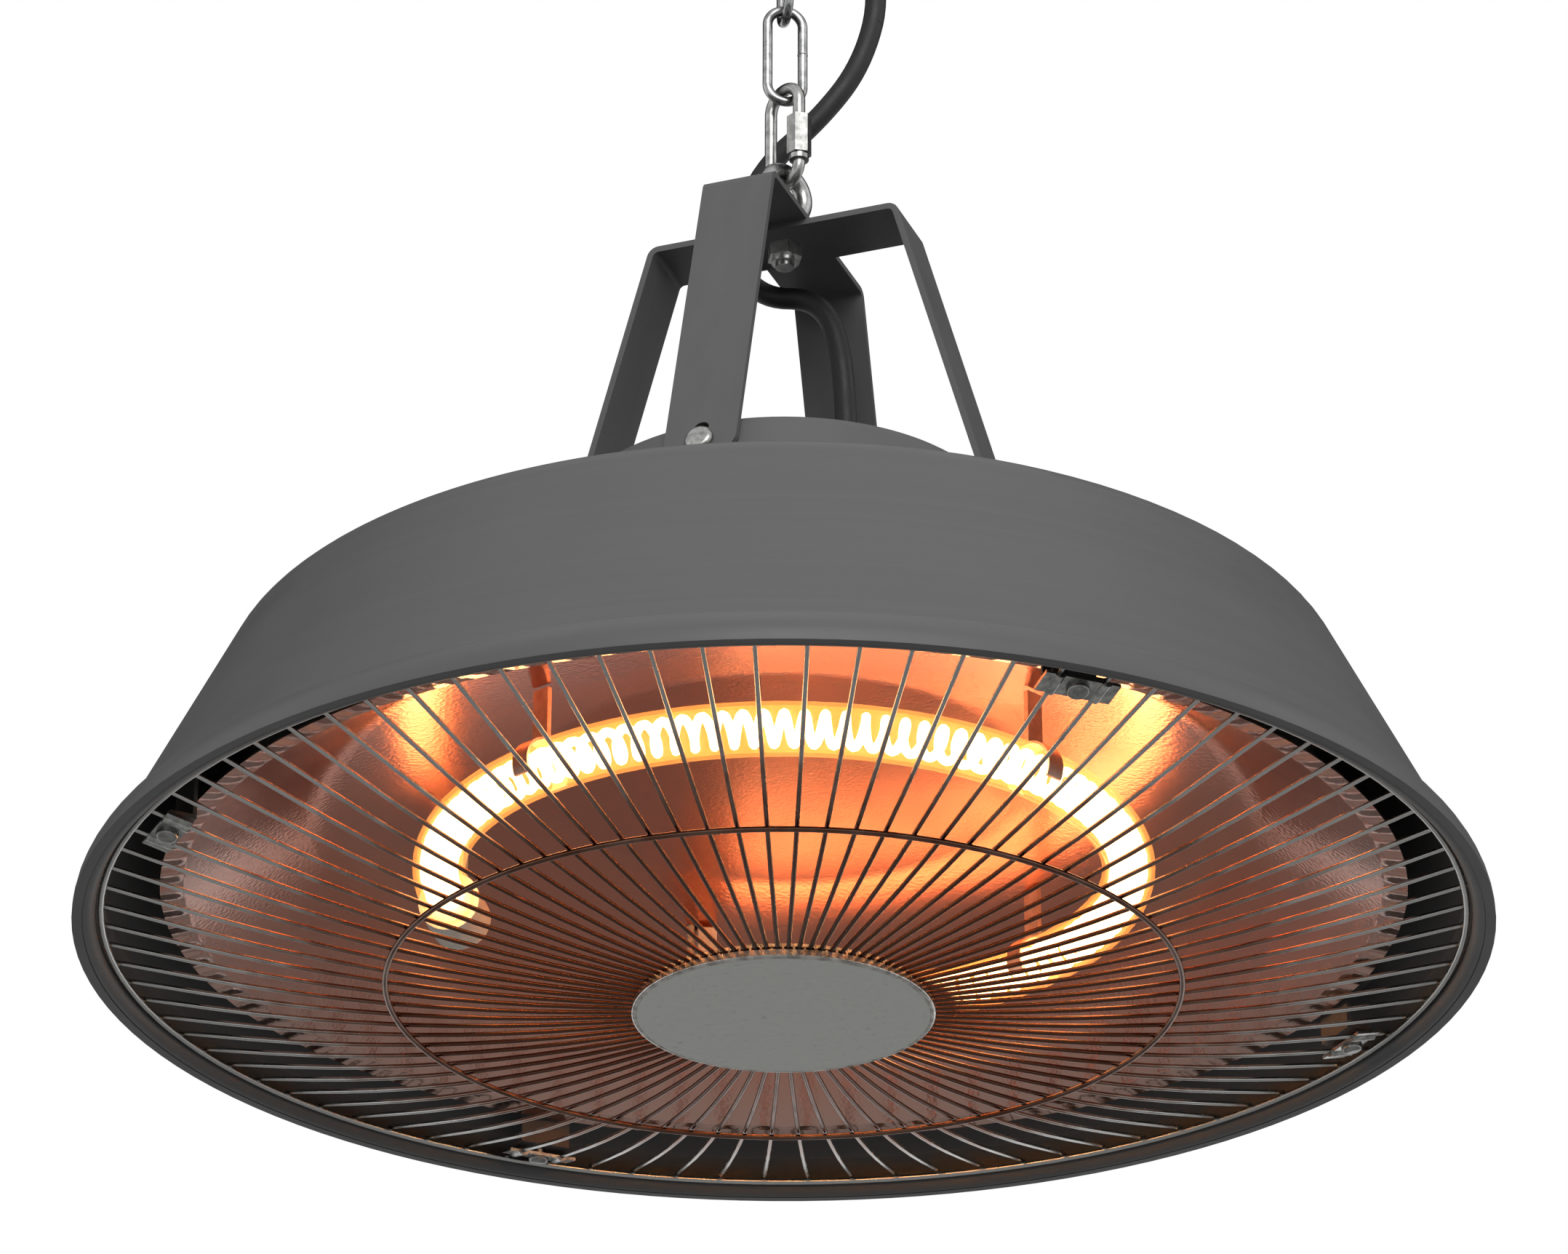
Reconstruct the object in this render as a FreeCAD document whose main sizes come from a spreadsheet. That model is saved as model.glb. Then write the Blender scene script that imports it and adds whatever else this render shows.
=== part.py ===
import FreeCAD, Part
import Sketcher
import math
import os

# A hanging electric patio heater: a spun shade on a chain, with a ring lamp under a
# reflector and a wire guard over the mouth. Heights are counted from the shade's lip and
# the finished pieces are lowered so that the origin is where the top chain link hangs.

SIZES = {
    "rim_radius": 212.5,
    "band_round": 13.5,
    "crease_height": 12.4,
    "shade_top_radius": 169.15,
    "shade_height": 84.4,
    "shoulder_round": 7.4,
    "shade_wall": 0.8,
    "hem_width": 3.0,
    "wire_hole_radius": 20.0,
    "drum_height": 62.6,
    "drum_wall": 1.0,
    "drum_edge_round": 5.0,
    "drum_flange": 13.4,
    "seat_gap": 0.05,
    "screw_gap": 0.15,
    "strap_width": 23.35,
    "strap_wall": 2.0,
    "strap_rise": 99.9,
    "strap_half": 41.16,
    "leg_slope": 0.282,
    "strap_bend": 4.0,
    "leg_reach": 15.0,
    "foot_round": 6.0,
    "slot_width": 4.7,
    "slot_length": 10.0,
    "slot_drop": 2.5,
    "strap_screw_drop": 9.5,
    "strap_screw_head": 4.5,
    "strap_screw_shank": 2.0,
    "small_screw_head": 3.3,
    "small_screw_shank": 1.5,
    "screw_head_height": 2.2,
    "screw_length": 7.0,
    "eye_outer_radius": 10.85,
    "eye_wire": 5.6,
    "eye_neck": 3.4,
    "eye_neck_radius": 3.9,
    "eye_shank_radius": 3.0,
    "eye_turn": 62.7,
    "washer_radius": 7.5,
    "washer_height": 1.2,
    "nut_flats": 10.0,
    "nut_height": 4.5,
    "nut_collar_height": 1.5,
    "nut_collar_radius": 4.2,
    "shank_tail": 1.5,
    "hang_gap": 0.3,
    "skew_gap": 0.6,
    "link_wire": 4.0,
    "link_inner_length": 32.0,
    "link_outer_width": 17.5,
    "link_turn": -27.3,
    "sleeve_flats": 7.0,
    "sleeve_length": 14.0,
    "collar_radius": 3.15,
    "collar_height": 1.95,
    "mouth_lap": 1.0,
    "mouth_gap": 4.5,
    "chain_wire": 3.2,
    "chain_inner_length": 31.0,
    "chain_inner_width": 8.4,
    "chain_turn": 32.7,
    "reflector_gap": 2.0,
    "reflector_edge_height": 12.8,
    "reflector_crimp": 7.0,
    "reflector_knee_radius": 140.0,
    "reflector_knee_height": 44.0,
    "reflector_flat_radius": 76.0,
    "reflector_flat_height": 56.0,
    "reflector_round": 24.0,
    "reflector_wall": 0.6,
    "post_circle": 60.0,
    "post_radius": 4.0,
    "lamp_circle": 104.0,
    "lamp_height": 24.5,
    "lamp_radius": 8.0,
    "lamp_wall": 1.2,
    "lamp_start": 190.0,
    "lamp_sweep": 290.0,
    "filament_radius": 4.7,
    "filament_wire": 1.4,
    "filament_curls": 79,
    "lamp_cap_radius": 9.5,
    "lamp_cap_length": 16.0,
    "lamp_stem_width": 6.0,
    "lamp_clip_wall": 0.8,
    "lamp_wire_radius": 1.2,
    "lamp_wire_bend": 12.0,
    "block_length": 52.0,
    "block_width": 24.0,
    "block_height": 16.0,
    "block_foot": 5.0,
    "block_lift": 8.0,
    "guard_count": 88,
    "guard_wire": 1.4,
    "guard_inner_radius": 36.0,
    "guard_inner_height": -18.5,
    "guard_bow_inset": 92.5,
    "guard_bow_height": -14.8,
    "guard_rim_height": 5.4,
    "guard_ring_inset": 8.5,
    "guard_ring_wire": 2.0,
    "guard_bend": 640.0,
    "mid_ring_radius": 119.0,
    "mid_ring_wire": 1.8,
    "hub_radius": 45.5,
    "hub_height": 2.4,
    "hub_wall": 1.2,
    "hub_band_wall": 1.6,
    "hub_plate_wall": 1.0,
    "hub_boss_radius": 6.0,
    "tab_wall": 1.2,
    "tab_end_inset": 7.0,
    "tab_foot": 8.0,
    "tab_rise": 18.4,
    "tab_spread": 5.0,
    "clip_length": 8.0,
    "clip_inset": 2.5,
    "clip_ear": 2.6,
    "clip_wall": 1.0,
    "gland_x": 13.1,
    "gland_y": 21.0,
    "gland_flange_radius": 9.0,
    "gland_flange_height": 4.0,
    "gland_height": 28.0,
    "gland_boot_radius": 6.6,
    "gland_tip_radius": 4.7,
    "gland_thread_radius": 5.0,
    "gland_nut_flats": 14.0,
    "gland_nut_height": 5.0,
    "lead_radius": 3.5,
    "coil_outer_radius": 50.75,
    "coil_pitch": 7.5,
    "coil_layer": 7.6,
    "coil_loops": 5.5,
    "coil_across": -38.0,
    "coil_depth": 24.5,
    "coil_height": 438.0,
    "coil_turn": 20.69,
    "coil_tail": 32.5,
    "tie_height": 7.0,
    "tie_wall": 1.4,
    "tie_offset": 7.3,
    "tie_gap": 0.3,
    "tie_round": 3.0,
    "plug_neck_length": 10.0,
    "plug_neck_radius": 6.0,
    "plug_length": 22.0,
    "plug_radius": 14.0,
    "pin_radius": 2.4,
    "pin_spacing": 19.0,
    "pin_length": 19.0,
}

doc = FreeCAD.newDocument("PatioHeater")
sheet = doc.addObject("Spreadsheet::Sheet", "Sizes")
for row, (alias, number) in enumerate(SIZES.items(), start=1):
    sheet.set("A%d" % row, alias)
    sheet.set("B%d" % row, str(number))
    sheet.setAlias("B%d" % row, alias)
doc.recompute()

UP = FreeCAD.Vector(0, 0, 1)
nodes = {}


class Size:
    """A number together with the expression on the sheet that gives it."""

    def __init__(self, value, text):
        self.value = value
        self.text = text

    def __add__(self, other):
        other = as_size(other)
        return Size(self.value + other.value, "(%s + %s)" % (self.text, other.text))

    def __sub__(self, other):
        other = as_size(other)
        return Size(self.value - other.value, "(%s - %s)" % (self.text, other.text))

    def __mul__(self, other):
        other = as_size(other)
        return Size(self.value * other.value, "(%s * %s)" % (self.text, other.text))

    def __truediv__(self, other):
        other = as_size(other)
        return Size(self.value / other.value, "(%s / %s)" % (self.text, other.text))

    def __neg__(self):
        return Size(-self.value, "(0 - %s)" % self.text)


def as_size(number):
    if isinstance(number, Size):
        return number
    return Size(float(number), "%.9g" % number if number >= 0 else "(0 - %.9g)" % -number)


def root(amount):
    return Size(math.sqrt(amount.value), "sqrt(%s)" % amount.text)


def cosine(turn):
    return Size(math.cos(math.radians(turn.value)), "cos(%s * 1 deg)" % turn.text)


def sine(turn):
    return Size(math.sin(math.radians(turn.value)), "sin(%s * 1 deg)" % turn.text)


class Reader:
    """Gives each value on the sheet by its alias."""

    def __getattr__(self, alias):
        return Size(float(sheet.get(alias)), "Sizes." + alias)


size = Reader()


def bind(item, name, amount):
    item.setExpression(name, as_size(amount).text)


def place(item, x=0, y=0, z=0, spin=None):
    """Puts an object at a bound point, turned by spin if one is given."""
    spin = spin or FreeCAD.Rotation()
    spot = [as_size(x), as_size(y), as_size(z)]
    item.Placement = FreeCAD.Placement(FreeCAD.Vector(*[step.value for step in spot]), spin)
    for axis, step in zip("xyz", spot):
        if step.value:
            bind(item, "Placement.Base." + axis, step)
    return item


def corner(x, y, rounding=None, arc=None, left=True):
    """A corner of an outline. A rounding blends it, an arc bows the edge that leaves it."""
    return {"x": as_size(x), "y": as_size(y), "rounding": rounding, "arc": arc, "left": left}


def arc_between(sketch, start, end, centre, left):
    """Adds an arc and says which of its ends is at the start."""
    spoke = start - centre
    other = end - centre
    circle = Part.Circle(centre, UP, spoke.Length)
    first = math.atan2(spoke.y, spoke.x)
    last = math.atan2(other.y, other.x)
    if left:
        return sketch.addGeometry(Part.ArcOfCircle(circle, first, last), False), 1, 2
    return sketch.addGeometry(Part.ArcOfCircle(circle, last, first), False), 2, 1


def measure(sketch, edge, end, spot):
    """Ties one point of a sketch to the sheet by its two coordinates."""
    for kind, axis, amount in (("DistanceX", -2, spot["x"]), ("DistanceY", -1, spot["y"])):
        if amount.value == 0:
            sketch.addConstraint(Sketcher.Constraint("PointOnObject", edge, end, axis))
        else:
            mark = sketch.addConstraint(
                Sketcher.Constraint(kind, -1, 1, edge, end, amount.value))
            sketch.setExpression("Constraints[%d]" % mark, amount.text)


def radius_of(sketch, edge, amount):
    mark = sketch.addConstraint(Sketcher.Constraint("Radius", edge, amount.value))
    sketch.setExpression("Constraints[%d]" % mark, amount.text)


def new_sketch(body, name, role):
    sketch = body.newObject("Sketcher::SketchObject", name)
    plane = [item for item in body.Origin.OriginFeatures if item.Role == role][0]
    sketch.AttachmentSupport = [(plane, "")]
    sketch.MapMode = "FlatFace"
    return sketch


def outline(sketch, corners):
    """Draws a closed outline whose corners are tied to the sheet."""
    count = len(corners)
    spots = [FreeCAD.Vector(item["x"].value, item["y"].value, 0) for item in corners]
    starts = list(spots)
    ends = list(spots)
    blends = {}
    for index, item in enumerate(corners):
        if item["rounding"] is None:
            continue
        spot = spots[index]
        back = (spots[index - 1] - spot).normalize()
        ahead = (spots[(index + 1) % count] - spot).normalize()
        half = back.getAngle(ahead) / 2
        span = item["rounding"].value / math.tan(half)
        ends[index] = spot + back * span
        starts[index] = spot + ahead * span
        middle = (back + ahead).normalize()
        centre = spot + middle * (item["rounding"].value / math.sin(half))
        left = (ends[index] - centre).cross(starts[index] - centre).z > 0
        blends[index] = (centre, left)
    edges = []
    for index, item in enumerate(corners):
        start = starts[index]
        end = ends[(index + 1) % count]
        if item["arc"] is None:
            edges.append((sketch.addGeometry(Part.LineSegment(start, end), False), 1, 2))
            continue
        chord = end - start
        side = FreeCAD.Vector(-chord.y, chord.x, 0).normalize()
        rise = math.sqrt(item["arc"].value ** 2 - chord.Length ** 2 / 4)
        centre = (start + end) * 0.5 + side * (rise if item["left"] else -rise)
        edges.append(arc_between(sketch, start, end, centre, item["left"]))
        radius_of(sketch, edges[-1][0], item["arc"])
    for index, item in enumerate(corners):
        came, unused, came_end = edges[index - 1]
        goes, goes_start, unused = edges[index]
        if item["rounding"] is None:
            sketch.addConstraint(
                Sketcher.Constraint("Coincident", came, came_end, goes, goes_start))
            measure(sketch, goes, goes_start, item)
            continue
        centre, left = blends[index]
        bow, bow_start, bow_end = arc_between(sketch, ends[index], starts[index], centre, left)
        sketch.addConstraint(Sketcher.Constraint("Tangent", came, came_end, bow, bow_start))
        sketch.addConstraint(Sketcher.Constraint("Tangent", bow, bow_end, goes, goes_start))
        radius_of(sketch, bow, item["rounding"])
        peak = sketch.addGeometry(Part.Point(spots[index]), True)
        sketch.addConstraint(Sketcher.Constraint("PointOnObject", peak, 1, came))
        sketch.addConstraint(Sketcher.Constraint("PointOnObject", peak, 1, goes))
        measure(sketch, peak, 1, item)


def turned(name, corners, sweep=None):
    """A body turned about the vertical axis from an outline of radius and height."""
    body = doc.addObject("PartDesign::Body", name)
    sketch = new_sketch(body, name + "_outline", "XZ_Plane")
    outline(sketch, corners)
    turn = body.newObject("PartDesign::Revolution", name + "_turn")
    turn.Profile = sketch
    turn.ReferenceAxis = (sketch, ["V_Axis"])
    if sweep is not None:
        turn.Midplane = True
        bind(turn, "Angle", sweep)
    return body


def padded(name, role, corners, depth, hole=None):
    """A body of an outline raised evenly to both sides of one of its planes."""
    body = doc.addObject("PartDesign::Body", name)
    sketch = new_sketch(body, name + "_outline", role)
    outline(sketch, corners)
    if hole is not None:
        outline(sketch, hole)
    pad = body.newObject("PartDesign::Pad", name + "_pad")
    pad.Profile = sketch
    pad.SideType = "Symmetric"
    bind(pad, "Length", depth)
    return body


def pocket(body, name, role, corners):
    """Cuts an outline right through a body, to both sides of one of its planes."""
    sketch = new_sketch(body, name + "_outline", role)
    outline(sketch, corners)
    cut = body.newObject("PartDesign::Pocket", name)
    cut.Profile = sketch
    cut.Type = "ThroughAll"
    cut.SideType = "Symmetric"
    return cut


def rod(name, radius, height, x=0, y=0, z=0, spin=None):
    item = doc.addObject("Part::Cylinder", name)
    bind(item, "Radius", radius)
    bind(item, "Height", height)
    return place(item, x, y, z, spin)


def block(name, length, width, height, x=0, y=0, z=0, spin=None):
    item = doc.addObject("Part::Box", name)
    bind(item, "Length", length)
    bind(item, "Width", width)
    bind(item, "Height", height)
    return place(item, x, y, z, spin)


def ring(name, radius, wire_radius, sweep=360, z=0, spin=None):
    item = doc.addObject("Part::Torus", name)
    bind(item, "Radius1", radius)
    bind(item, "Radius2", wire_radius)
    bind(item, "Angle3", sweep)
    return place(item, 0, 0, z, spin)


def hexagon(name, flats, height, z=0):
    item = doc.addObject("Part::Prism", name)
    item.Polygon = 6
    bind(item, "Circumradius", flats / root(as_size(3)))
    bind(item, "Height", height)
    return place(item, 0, 0, z)


def fused(name, items):
    item = doc.addObject("Part::MultiFuse", name)
    item.Shapes = items
    return item


def cut(name, base, tool):
    item = doc.addObject("Part::Cut", name)
    item.Base = base
    item.Tool = tool
    return item


def copies(name, base, spots):
    """Repeats one piece at each spot."""
    doc.recompute()
    shapes = []
    for spot in spots:
        shape = base.Shape.copy()
        shape.Placement = spot.multiply(shape.Placement)
        shapes.append(shape)
    item = doc.addObject("Part::Feature", name)
    item.Shape = Part.makeCompound(shapes)
    return item


def about(angle, x=0, y=0, z=0, tilt=0):
    """A spot turned about the vertical axis, tilted first about its own Y."""
    swing = FreeCAD.Rotation(UP, angle)
    tip = FreeCAD.Rotation(FreeCAD.Vector(0, 1, 0), tilt)
    return FreeCAD.Placement(swing.multVec(FreeCAD.Vector(x, y, z)), swing.multiply(tip))


def quarters(start):
    return [start + 90 * index for index in range(4)]


def node(item, name, x=0, y=0, z=0, spin=None):
    """Names a finished piece and lowers it so that the hanging point is at the origin."""
    item.Label = name
    if item.TypeId == "Part::Feature":
        spot = FreeCAD.Vector(as_size(x).value, as_size(y).value, (as_size(z) - hang).value)
        item.Placement = FreeCAD.Placement(spot, spin or FreeCAD.Rotation())
    else:
        place(item, x, y, as_size(z) - hang, spin)
    nodes[name] = item
    return item


# Heights of the stack, from the lip up to the hanging point.
drum_top = size.shade_height + size.drum_height
strap_top = drum_top + size.strap_rise
eye_height = strap_top + size.washer_height + size.eye_neck + size.eye_outer_radius
eye_inner = size.eye_outer_radius - size.eye_wire
link_low = eye_height + eye_inner - size.link_wire / 2 - size.hang_gap
link_height = link_low + (size.link_inner_length + size.link_wire) / 2
chain_low = link_height + size.link_inner_length / 2 - size.chain_wire / 2 - size.skew_gap
chain_first = chain_low + (size.chain_inner_length + size.chain_wire) / 2
chain_pitch = size.chain_inner_length - size.hang_gap
hang = chain_first + chain_pitch * 5 + size.chain_inner_length / 2

# The shade: a rounded band at the lip, a crease, a straight cone and a flat top.
band_centre = size.rim_radius - size.band_round
crease_radius = band_centre + root(
    size.band_round * size.band_round - size.crease_height * size.crease_height)
cone_slope = (crease_radius - size.shade_top_radius) / (size.shade_height - size.crease_height)
cone_lean = root(cone_slope * cone_slope + 1)


def inside_wall(height):
    """Radius of the cone's inner face at a height."""
    return (crease_radius - (height - size.crease_height) * cone_slope
            - size.shade_wall * cone_lean)


shade_under = size.shade_height - size.shade_wall
inner_crease = size.crease_height - size.shade_wall
hem_radius = size.rim_radius - size.hem_width
shade_shell = turned("shade_shell", [
    corner(size.wire_hole_radius, size.shade_height),
    corner(size.shade_top_radius, size.shade_height, rounding=size.shoulder_round),
    corner(crease_radius, size.crease_height, arc=size.band_round, left=False),
    corner(size.rim_radius, 0),
    corner(hem_radius, 0),
    corner(hem_radius, size.shade_wall),
    corner(size.rim_radius - size.shade_wall, size.shade_wall,
           arc=size.band_round - size.shade_wall),
    corner(inside_wall(inner_crease), inner_crease),
    corner(inside_wall(shade_under), shade_under,
           rounding=size.shoulder_round - size.shade_wall),
    corner(size.wire_hole_radius, shade_under),
])

# The cap drum on the shade's flat top: its side leans like the bracket legs that lie on it.
leg_lean = root(size.leg_slope * size.leg_slope + 1)
leg_skin = size.strap_wall * leg_lean
drum_radius = (size.strap_half + size.strap_rise * size.leg_slope - leg_skin - size.seat_gap)
drum_skin = size.drum_wall * leg_lean
drum_foot = drum_radius + (size.drum_height - size.drum_wall) * size.leg_slope
drum_base = drum_radius + size.drum_height * size.leg_slope - drum_skin
flange_top = size.shade_height + size.drum_wall
flange_radius = drum_foot + size.drum_flange
drum_shell = turned("drum_shell", [
    corner(0, drum_top),
    corner(drum_radius, drum_top, rounding=size.drum_edge_round),
    corner(drum_foot, flange_top),
    corner(flange_radius, flange_top),
    corner(flange_radius, size.shade_height),
    corner(drum_base, size.shade_height),
    corner(drum_radius + size.drum_wall * size.leg_slope - drum_skin,
           drum_top - size.drum_wall, rounding=size.drum_edge_round - size.drum_wall),
    corner(0, drum_top - size.drum_wall),
])


def screw(name, head, shank):
    """A pan head screw that seats at height 0, with its shank below."""
    return turned(name, [
        corner(0, size.screw_head_height),
        corner(head, size.screw_head_height, rounding=size.screw_head_height * 0.7),
        corner(head, 0),
        corner(shank, 0),
        corner(shank, -size.screw_length),
        corner(0, -size.screw_length),
    ])


cap_circle = drum_foot + size.drum_flange / 2
small_screw = screw("small_screw", size.small_screw_head, size.small_screw_shank)
small_drill = rod("small_drill", size.small_screw_shank + size.screw_gap,
                  size.screw_length * 2, 0, 0, -size.screw_length)
cap_spots = [about(turn, cap_circle.value, 0, flange_top.value) for turn in quarters(45)]
cap_holes = copies("cap_holes", small_drill, cap_spots)
node(copies("cap_screws", small_screw, cap_spots), "cap_screws")
node(cut("shade", shade_shell, cap_holes), "shade")

# The two crossed bracket straps and the screws that hold their feet to the drum's side.
foot_height = drum_top - size.leg_reach
strap_screw = screw("strap_screw", size.strap_screw_head, size.strap_screw_shank)
strap_drill = rod("strap_drill", size.strap_screw_shank + size.screw_gap,
                  size.screw_length * 2, 0, 0, -size.screw_length)
screw_height = drum_top - size.strap_screw_drop
screw_reach = size.strap_half + (strap_top - screw_height) * size.leg_slope
screw_tilt = 90 - math.degrees(math.atan(size.leg_slope.value))
strap_spots = [about(turn, screw_reach.value, 0, screw_height.value, screw_tilt)
               for turn in quarters(0)]
strap_holes = copies("strap_holes", strap_drill, strap_spots)
node(copies("bracket_screws", strap_screw, strap_spots), "bracket_screws")
gland_drill = rod("gland_drill", size.gland_thread_radius + size.screw_gap, size.drum_wall * 3,
                  size.gland_x, size.gland_y, drum_top - size.drum_wall * 2)
drum_cuts = fused("drum_cuts", [cap_holes, strap_holes, gland_drill])
node(cut("cap_drum", drum_shell, drum_cuts), "cap_drum")


def strap(name, along, across, top, half):
    """A strap bent down at both ends, slotted at the feet and drilled at its middle."""
    reach = half + (top - foot_height) * size.leg_slope
    inner = half - leg_skin + size.strap_wall * size.leg_slope
    under = top - size.strap_wall
    inner_bend = size.strap_bend - size.strap_wall
    body = padded(name, along, [
        corner(-reach, foot_height),
        corner(-half, top, rounding=size.strap_bend),
        corner(half, top, rounding=size.strap_bend),
        corner(reach, foot_height),
        corner(reach - leg_skin, foot_height),
        corner(inner, under, rounding=inner_bend),
        corner(-inner, under, rounding=inner_bend),
        corner(leg_skin - reach, foot_height),
    ], size.strap_width)
    doc.recompute()
    shape = body.Shape
    picks = []
    for index, edge in enumerate(shape.Edges, start=1):
        ends = [vertex.Point for vertex in edge.Vertexes]
        low = all(abs(end.z - foot_height.value) < 0.001 for end in ends)
        wide = [end.x if along == "YZ_Plane" else end.y for end in ends]
        if low and all(abs(abs(step) - size.strap_width.value / 2) < 0.001 for step in wide):
            if wide[0] * wide[1] > 0:
                picks.append("Edge%d" % index)
    plain = body.Tip
    blend = body.newObject("PartDesign::Fillet", name + "_feet")
    blend.Base = (plain, picks)
    bind(blend, "Radius", size.foot_round)
    slot_top = drum_top - size.slot_drop
    slot_low = slot_top - size.slot_length
    side = size.slot_width / 2
    slot_round = size.slot_width * 0.45
    pocket(body, name + "_slots", across, [
        corner(-side, slot_low, rounding=slot_round),
        corner(side, slot_low, rounding=slot_round),
        corner(side, slot_top, rounding=slot_round),
        corner(-side, slot_top, rounding=slot_round),
    ])
    return body


upper_strap = strap("upper_strap", "YZ_Plane", "XZ_Plane", strap_top, size.strap_half)
lower_strap = strap("lower_strap", "XZ_Plane", "YZ_Plane", strap_top - size.strap_wall,
                    size.strap_half + size.strap_wall * size.leg_slope)
strap_under = strap_top - size.strap_wall * 2
eye_drill = rod("eye_drill", size.eye_shank_radius + size.screw_gap, size.strap_wall * 4,
                0, 0, strap_top - size.strap_wall * 3)
node(cut("bracket_a", upper_strap, eye_drill), "bracket_a")
node(cut("bracket_b", lower_strap, eye_drill), "bracket_b")

# The eye bolt through both straps, its washer and its lock nut.
eye_seat = strap_top + size.washer_height
nut_stack = size.nut_height + size.nut_collar_height
shank_low = strap_under - nut_stack - size.shank_tail
eye_spin = FreeCAD.Rotation(FreeCAD.Vector(1, 0, 0), 90)
eye_loop = ring("eye_loop", size.eye_outer_radius - size.eye_wire / 2, size.eye_wire / 2,
                360, eye_height, eye_spin)
eye_neck = rod("eye_neck_rod", size.eye_neck_radius, size.eye_neck + size.eye_wire / 2,
               0, 0, eye_seat)
eye_shank = rod("eye_shank_rod", size.eye_shank_radius, eye_seat - shank_low, 0, 0, shank_low)
node(fused("eye_bolt", [eye_loop, eye_neck, eye_shank]), "eye_bolt",
     spin=FreeCAD.Rotation(UP, size.eye_turn.value))
bore = rod("thread_bore", size.eye_shank_radius + size.seat_gap, nut_stack * 3,
           0, 0, -nut_stack)
washer_disc = rod("washer_disc", size.washer_radius, size.washer_height)
node(cut("eye_washer", washer_disc, bore), "eye_washer", z=strap_top)
nut_hex = hexagon("nut_hex", size.nut_flats, size.nut_height, size.nut_collar_height)
nut_collar = rod("nut_collar", size.nut_collar_radius, size.nut_collar_height)
nut_whole = fused("nut_whole", [nut_hex, nut_collar])
node(cut("lock_nut", nut_whole, bore), "lock_nut", z=strap_under - nut_stack)


def oval_ends(name, wire, radius, straight):
    """The two half rings that close an oval link of round wire."""
    flat = FreeCAD.Vector(1, 0, 0)
    high = ring(name + "_high", radius, wire / 2, 180, straight / 2, FreeCAD.Rotation(flat, 90))
    low = ring(name + "_low", radius, wire / 2, 180, -straight / 2, FreeCAD.Rotation(flat, -90))
    return [high, low]


# The quick link: one leg is parted and closed by a hexagonal sleeve that slides up.
link_bow = (size.link_outer_width - size.link_wire) / 2
link_straight = size.link_inner_length + size.link_wire * 2 - size.link_outer_width
sleeve_low = size.collar_height + size.seat_gap - link_straight / 2
mouth_low = sleeve_low + size.mouth_lap
mouth_high = mouth_low + size.mouth_gap
link_pieces = oval_ends("quick_link", size.link_wire, link_bow, link_straight)
link_pieces.append(rod("link_back", size.link_wire / 2, link_straight,
                       -link_bow, 0, -link_straight / 2))
link_pieces.append(rod("link_stub", size.link_wire / 2, mouth_low + link_straight / 2,
                       link_bow, 0, -link_straight / 2))
link_pieces.append(rod("link_screw", size.link_wire / 2, link_straight / 2 - mouth_high,
                       link_bow, 0, mouth_high))
link_pieces.append(rod("link_collar", size.collar_radius, size.collar_height,
                       link_bow, 0, -link_straight / 2))
link_spin = FreeCAD.Rotation(UP, size.link_turn.value)
node(fused("quick_link", link_pieces), "quick_link", z=link_height, spin=link_spin)
sleeve_hex = hexagon("sleeve_hex", size.sleeve_flats, size.sleeve_length)
sleeve_bore = rod("sleeve_bore", size.link_wire / 2 + size.seat_gap, size.sleeve_length * 3,
                  0, 0, -size.sleeve_length)
node(cut("link_sleeve", sleeve_hex, sleeve_bore), "link_sleeve",
     link_bow * cosine(size.link_turn), link_bow * sine(size.link_turn),
     link_height + sleeve_low, link_spin)

# The chain of welded oval links, each turned a quarter from the one below.
chain_width = size.chain_inner_width + size.chain_wire * 2
chain_bow = (chain_width - size.chain_wire) / 2
chain_straight = size.chain_inner_length + size.chain_wire * 2 - chain_width
for index in range(6):
    name = "chain_link_%d" % (index + 1)
    pieces = oval_ends(name, size.chain_wire, chain_bow, chain_straight)
    for side, offset in (("near", chain_bow), ("far", -chain_bow)):
        pieces.append(rod(name + "_" + side, size.chain_wire / 2, chain_straight,
                          offset, 0, -chain_straight / 2))
    turn = size.chain_turn.value + 90 * (index % 2)
    node(fused(name, pieces), name, z=chain_first + chain_pitch * index,
         spin=FreeCAD.Rotation(UP, turn))

# Radii of the guard, its tabs and the reflector, each set in from its neighbour towards
# the middle, so that all of them follow the shade's rim.
guard_ring_radius = size.rim_radius - size.guard_ring_inset
foot_end = guard_ring_radius - size.tab_end_inset
tab_leg_radius = foot_end - size.tab_foot
reflector_edge_radius = tab_leg_radius - size.reflector_gap

# The reflector: a shallow dish with a crimped edge, hung from the shade's top by posts.
reflector_drop = ((size.reflector_flat_height - size.reflector_knee_height)
                  / (size.reflector_knee_radius - size.reflector_flat_radius))


def reflector_under(radius):
    """Height of the reflector's lower face on the slope over the lamp."""
    return (size.reflector_knee_height
            + (size.reflector_knee_radius - radius) * reflector_drop)


crimp_radius = reflector_edge_radius - size.reflector_crimp
crimp_height = size.reflector_edge_height + size.reflector_wall * 2
dish_line = [
    (reflector_edge_radius, size.reflector_edge_height, None),
    (crimp_radius, crimp_height, None),
    (size.reflector_knee_radius, size.reflector_knee_height, size.reflector_round),
    (size.reflector_flat_radius, size.reflector_flat_height, size.reflector_round),
    (0, size.reflector_flat_height, None),
]
dish_corners = [corner(radius, height, rounding=bow) for radius, height, bow in dish_line]
for radius, height, bow in reversed(dish_line):
    dish_corners.append(corner(radius, height + size.reflector_wall, rounding=bow))
reflector_dish = turned("reflector_dish", dish_corners)
reflector_top = size.reflector_flat_height + size.reflector_wall
post = rod("post", size.post_radius, shade_under - reflector_top, 0, 0, reflector_top)
node(copies("reflector_posts", post,
            [about(turn, size.post_circle.value) for turn in quarters(45)]), "reflector_posts")

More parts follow.
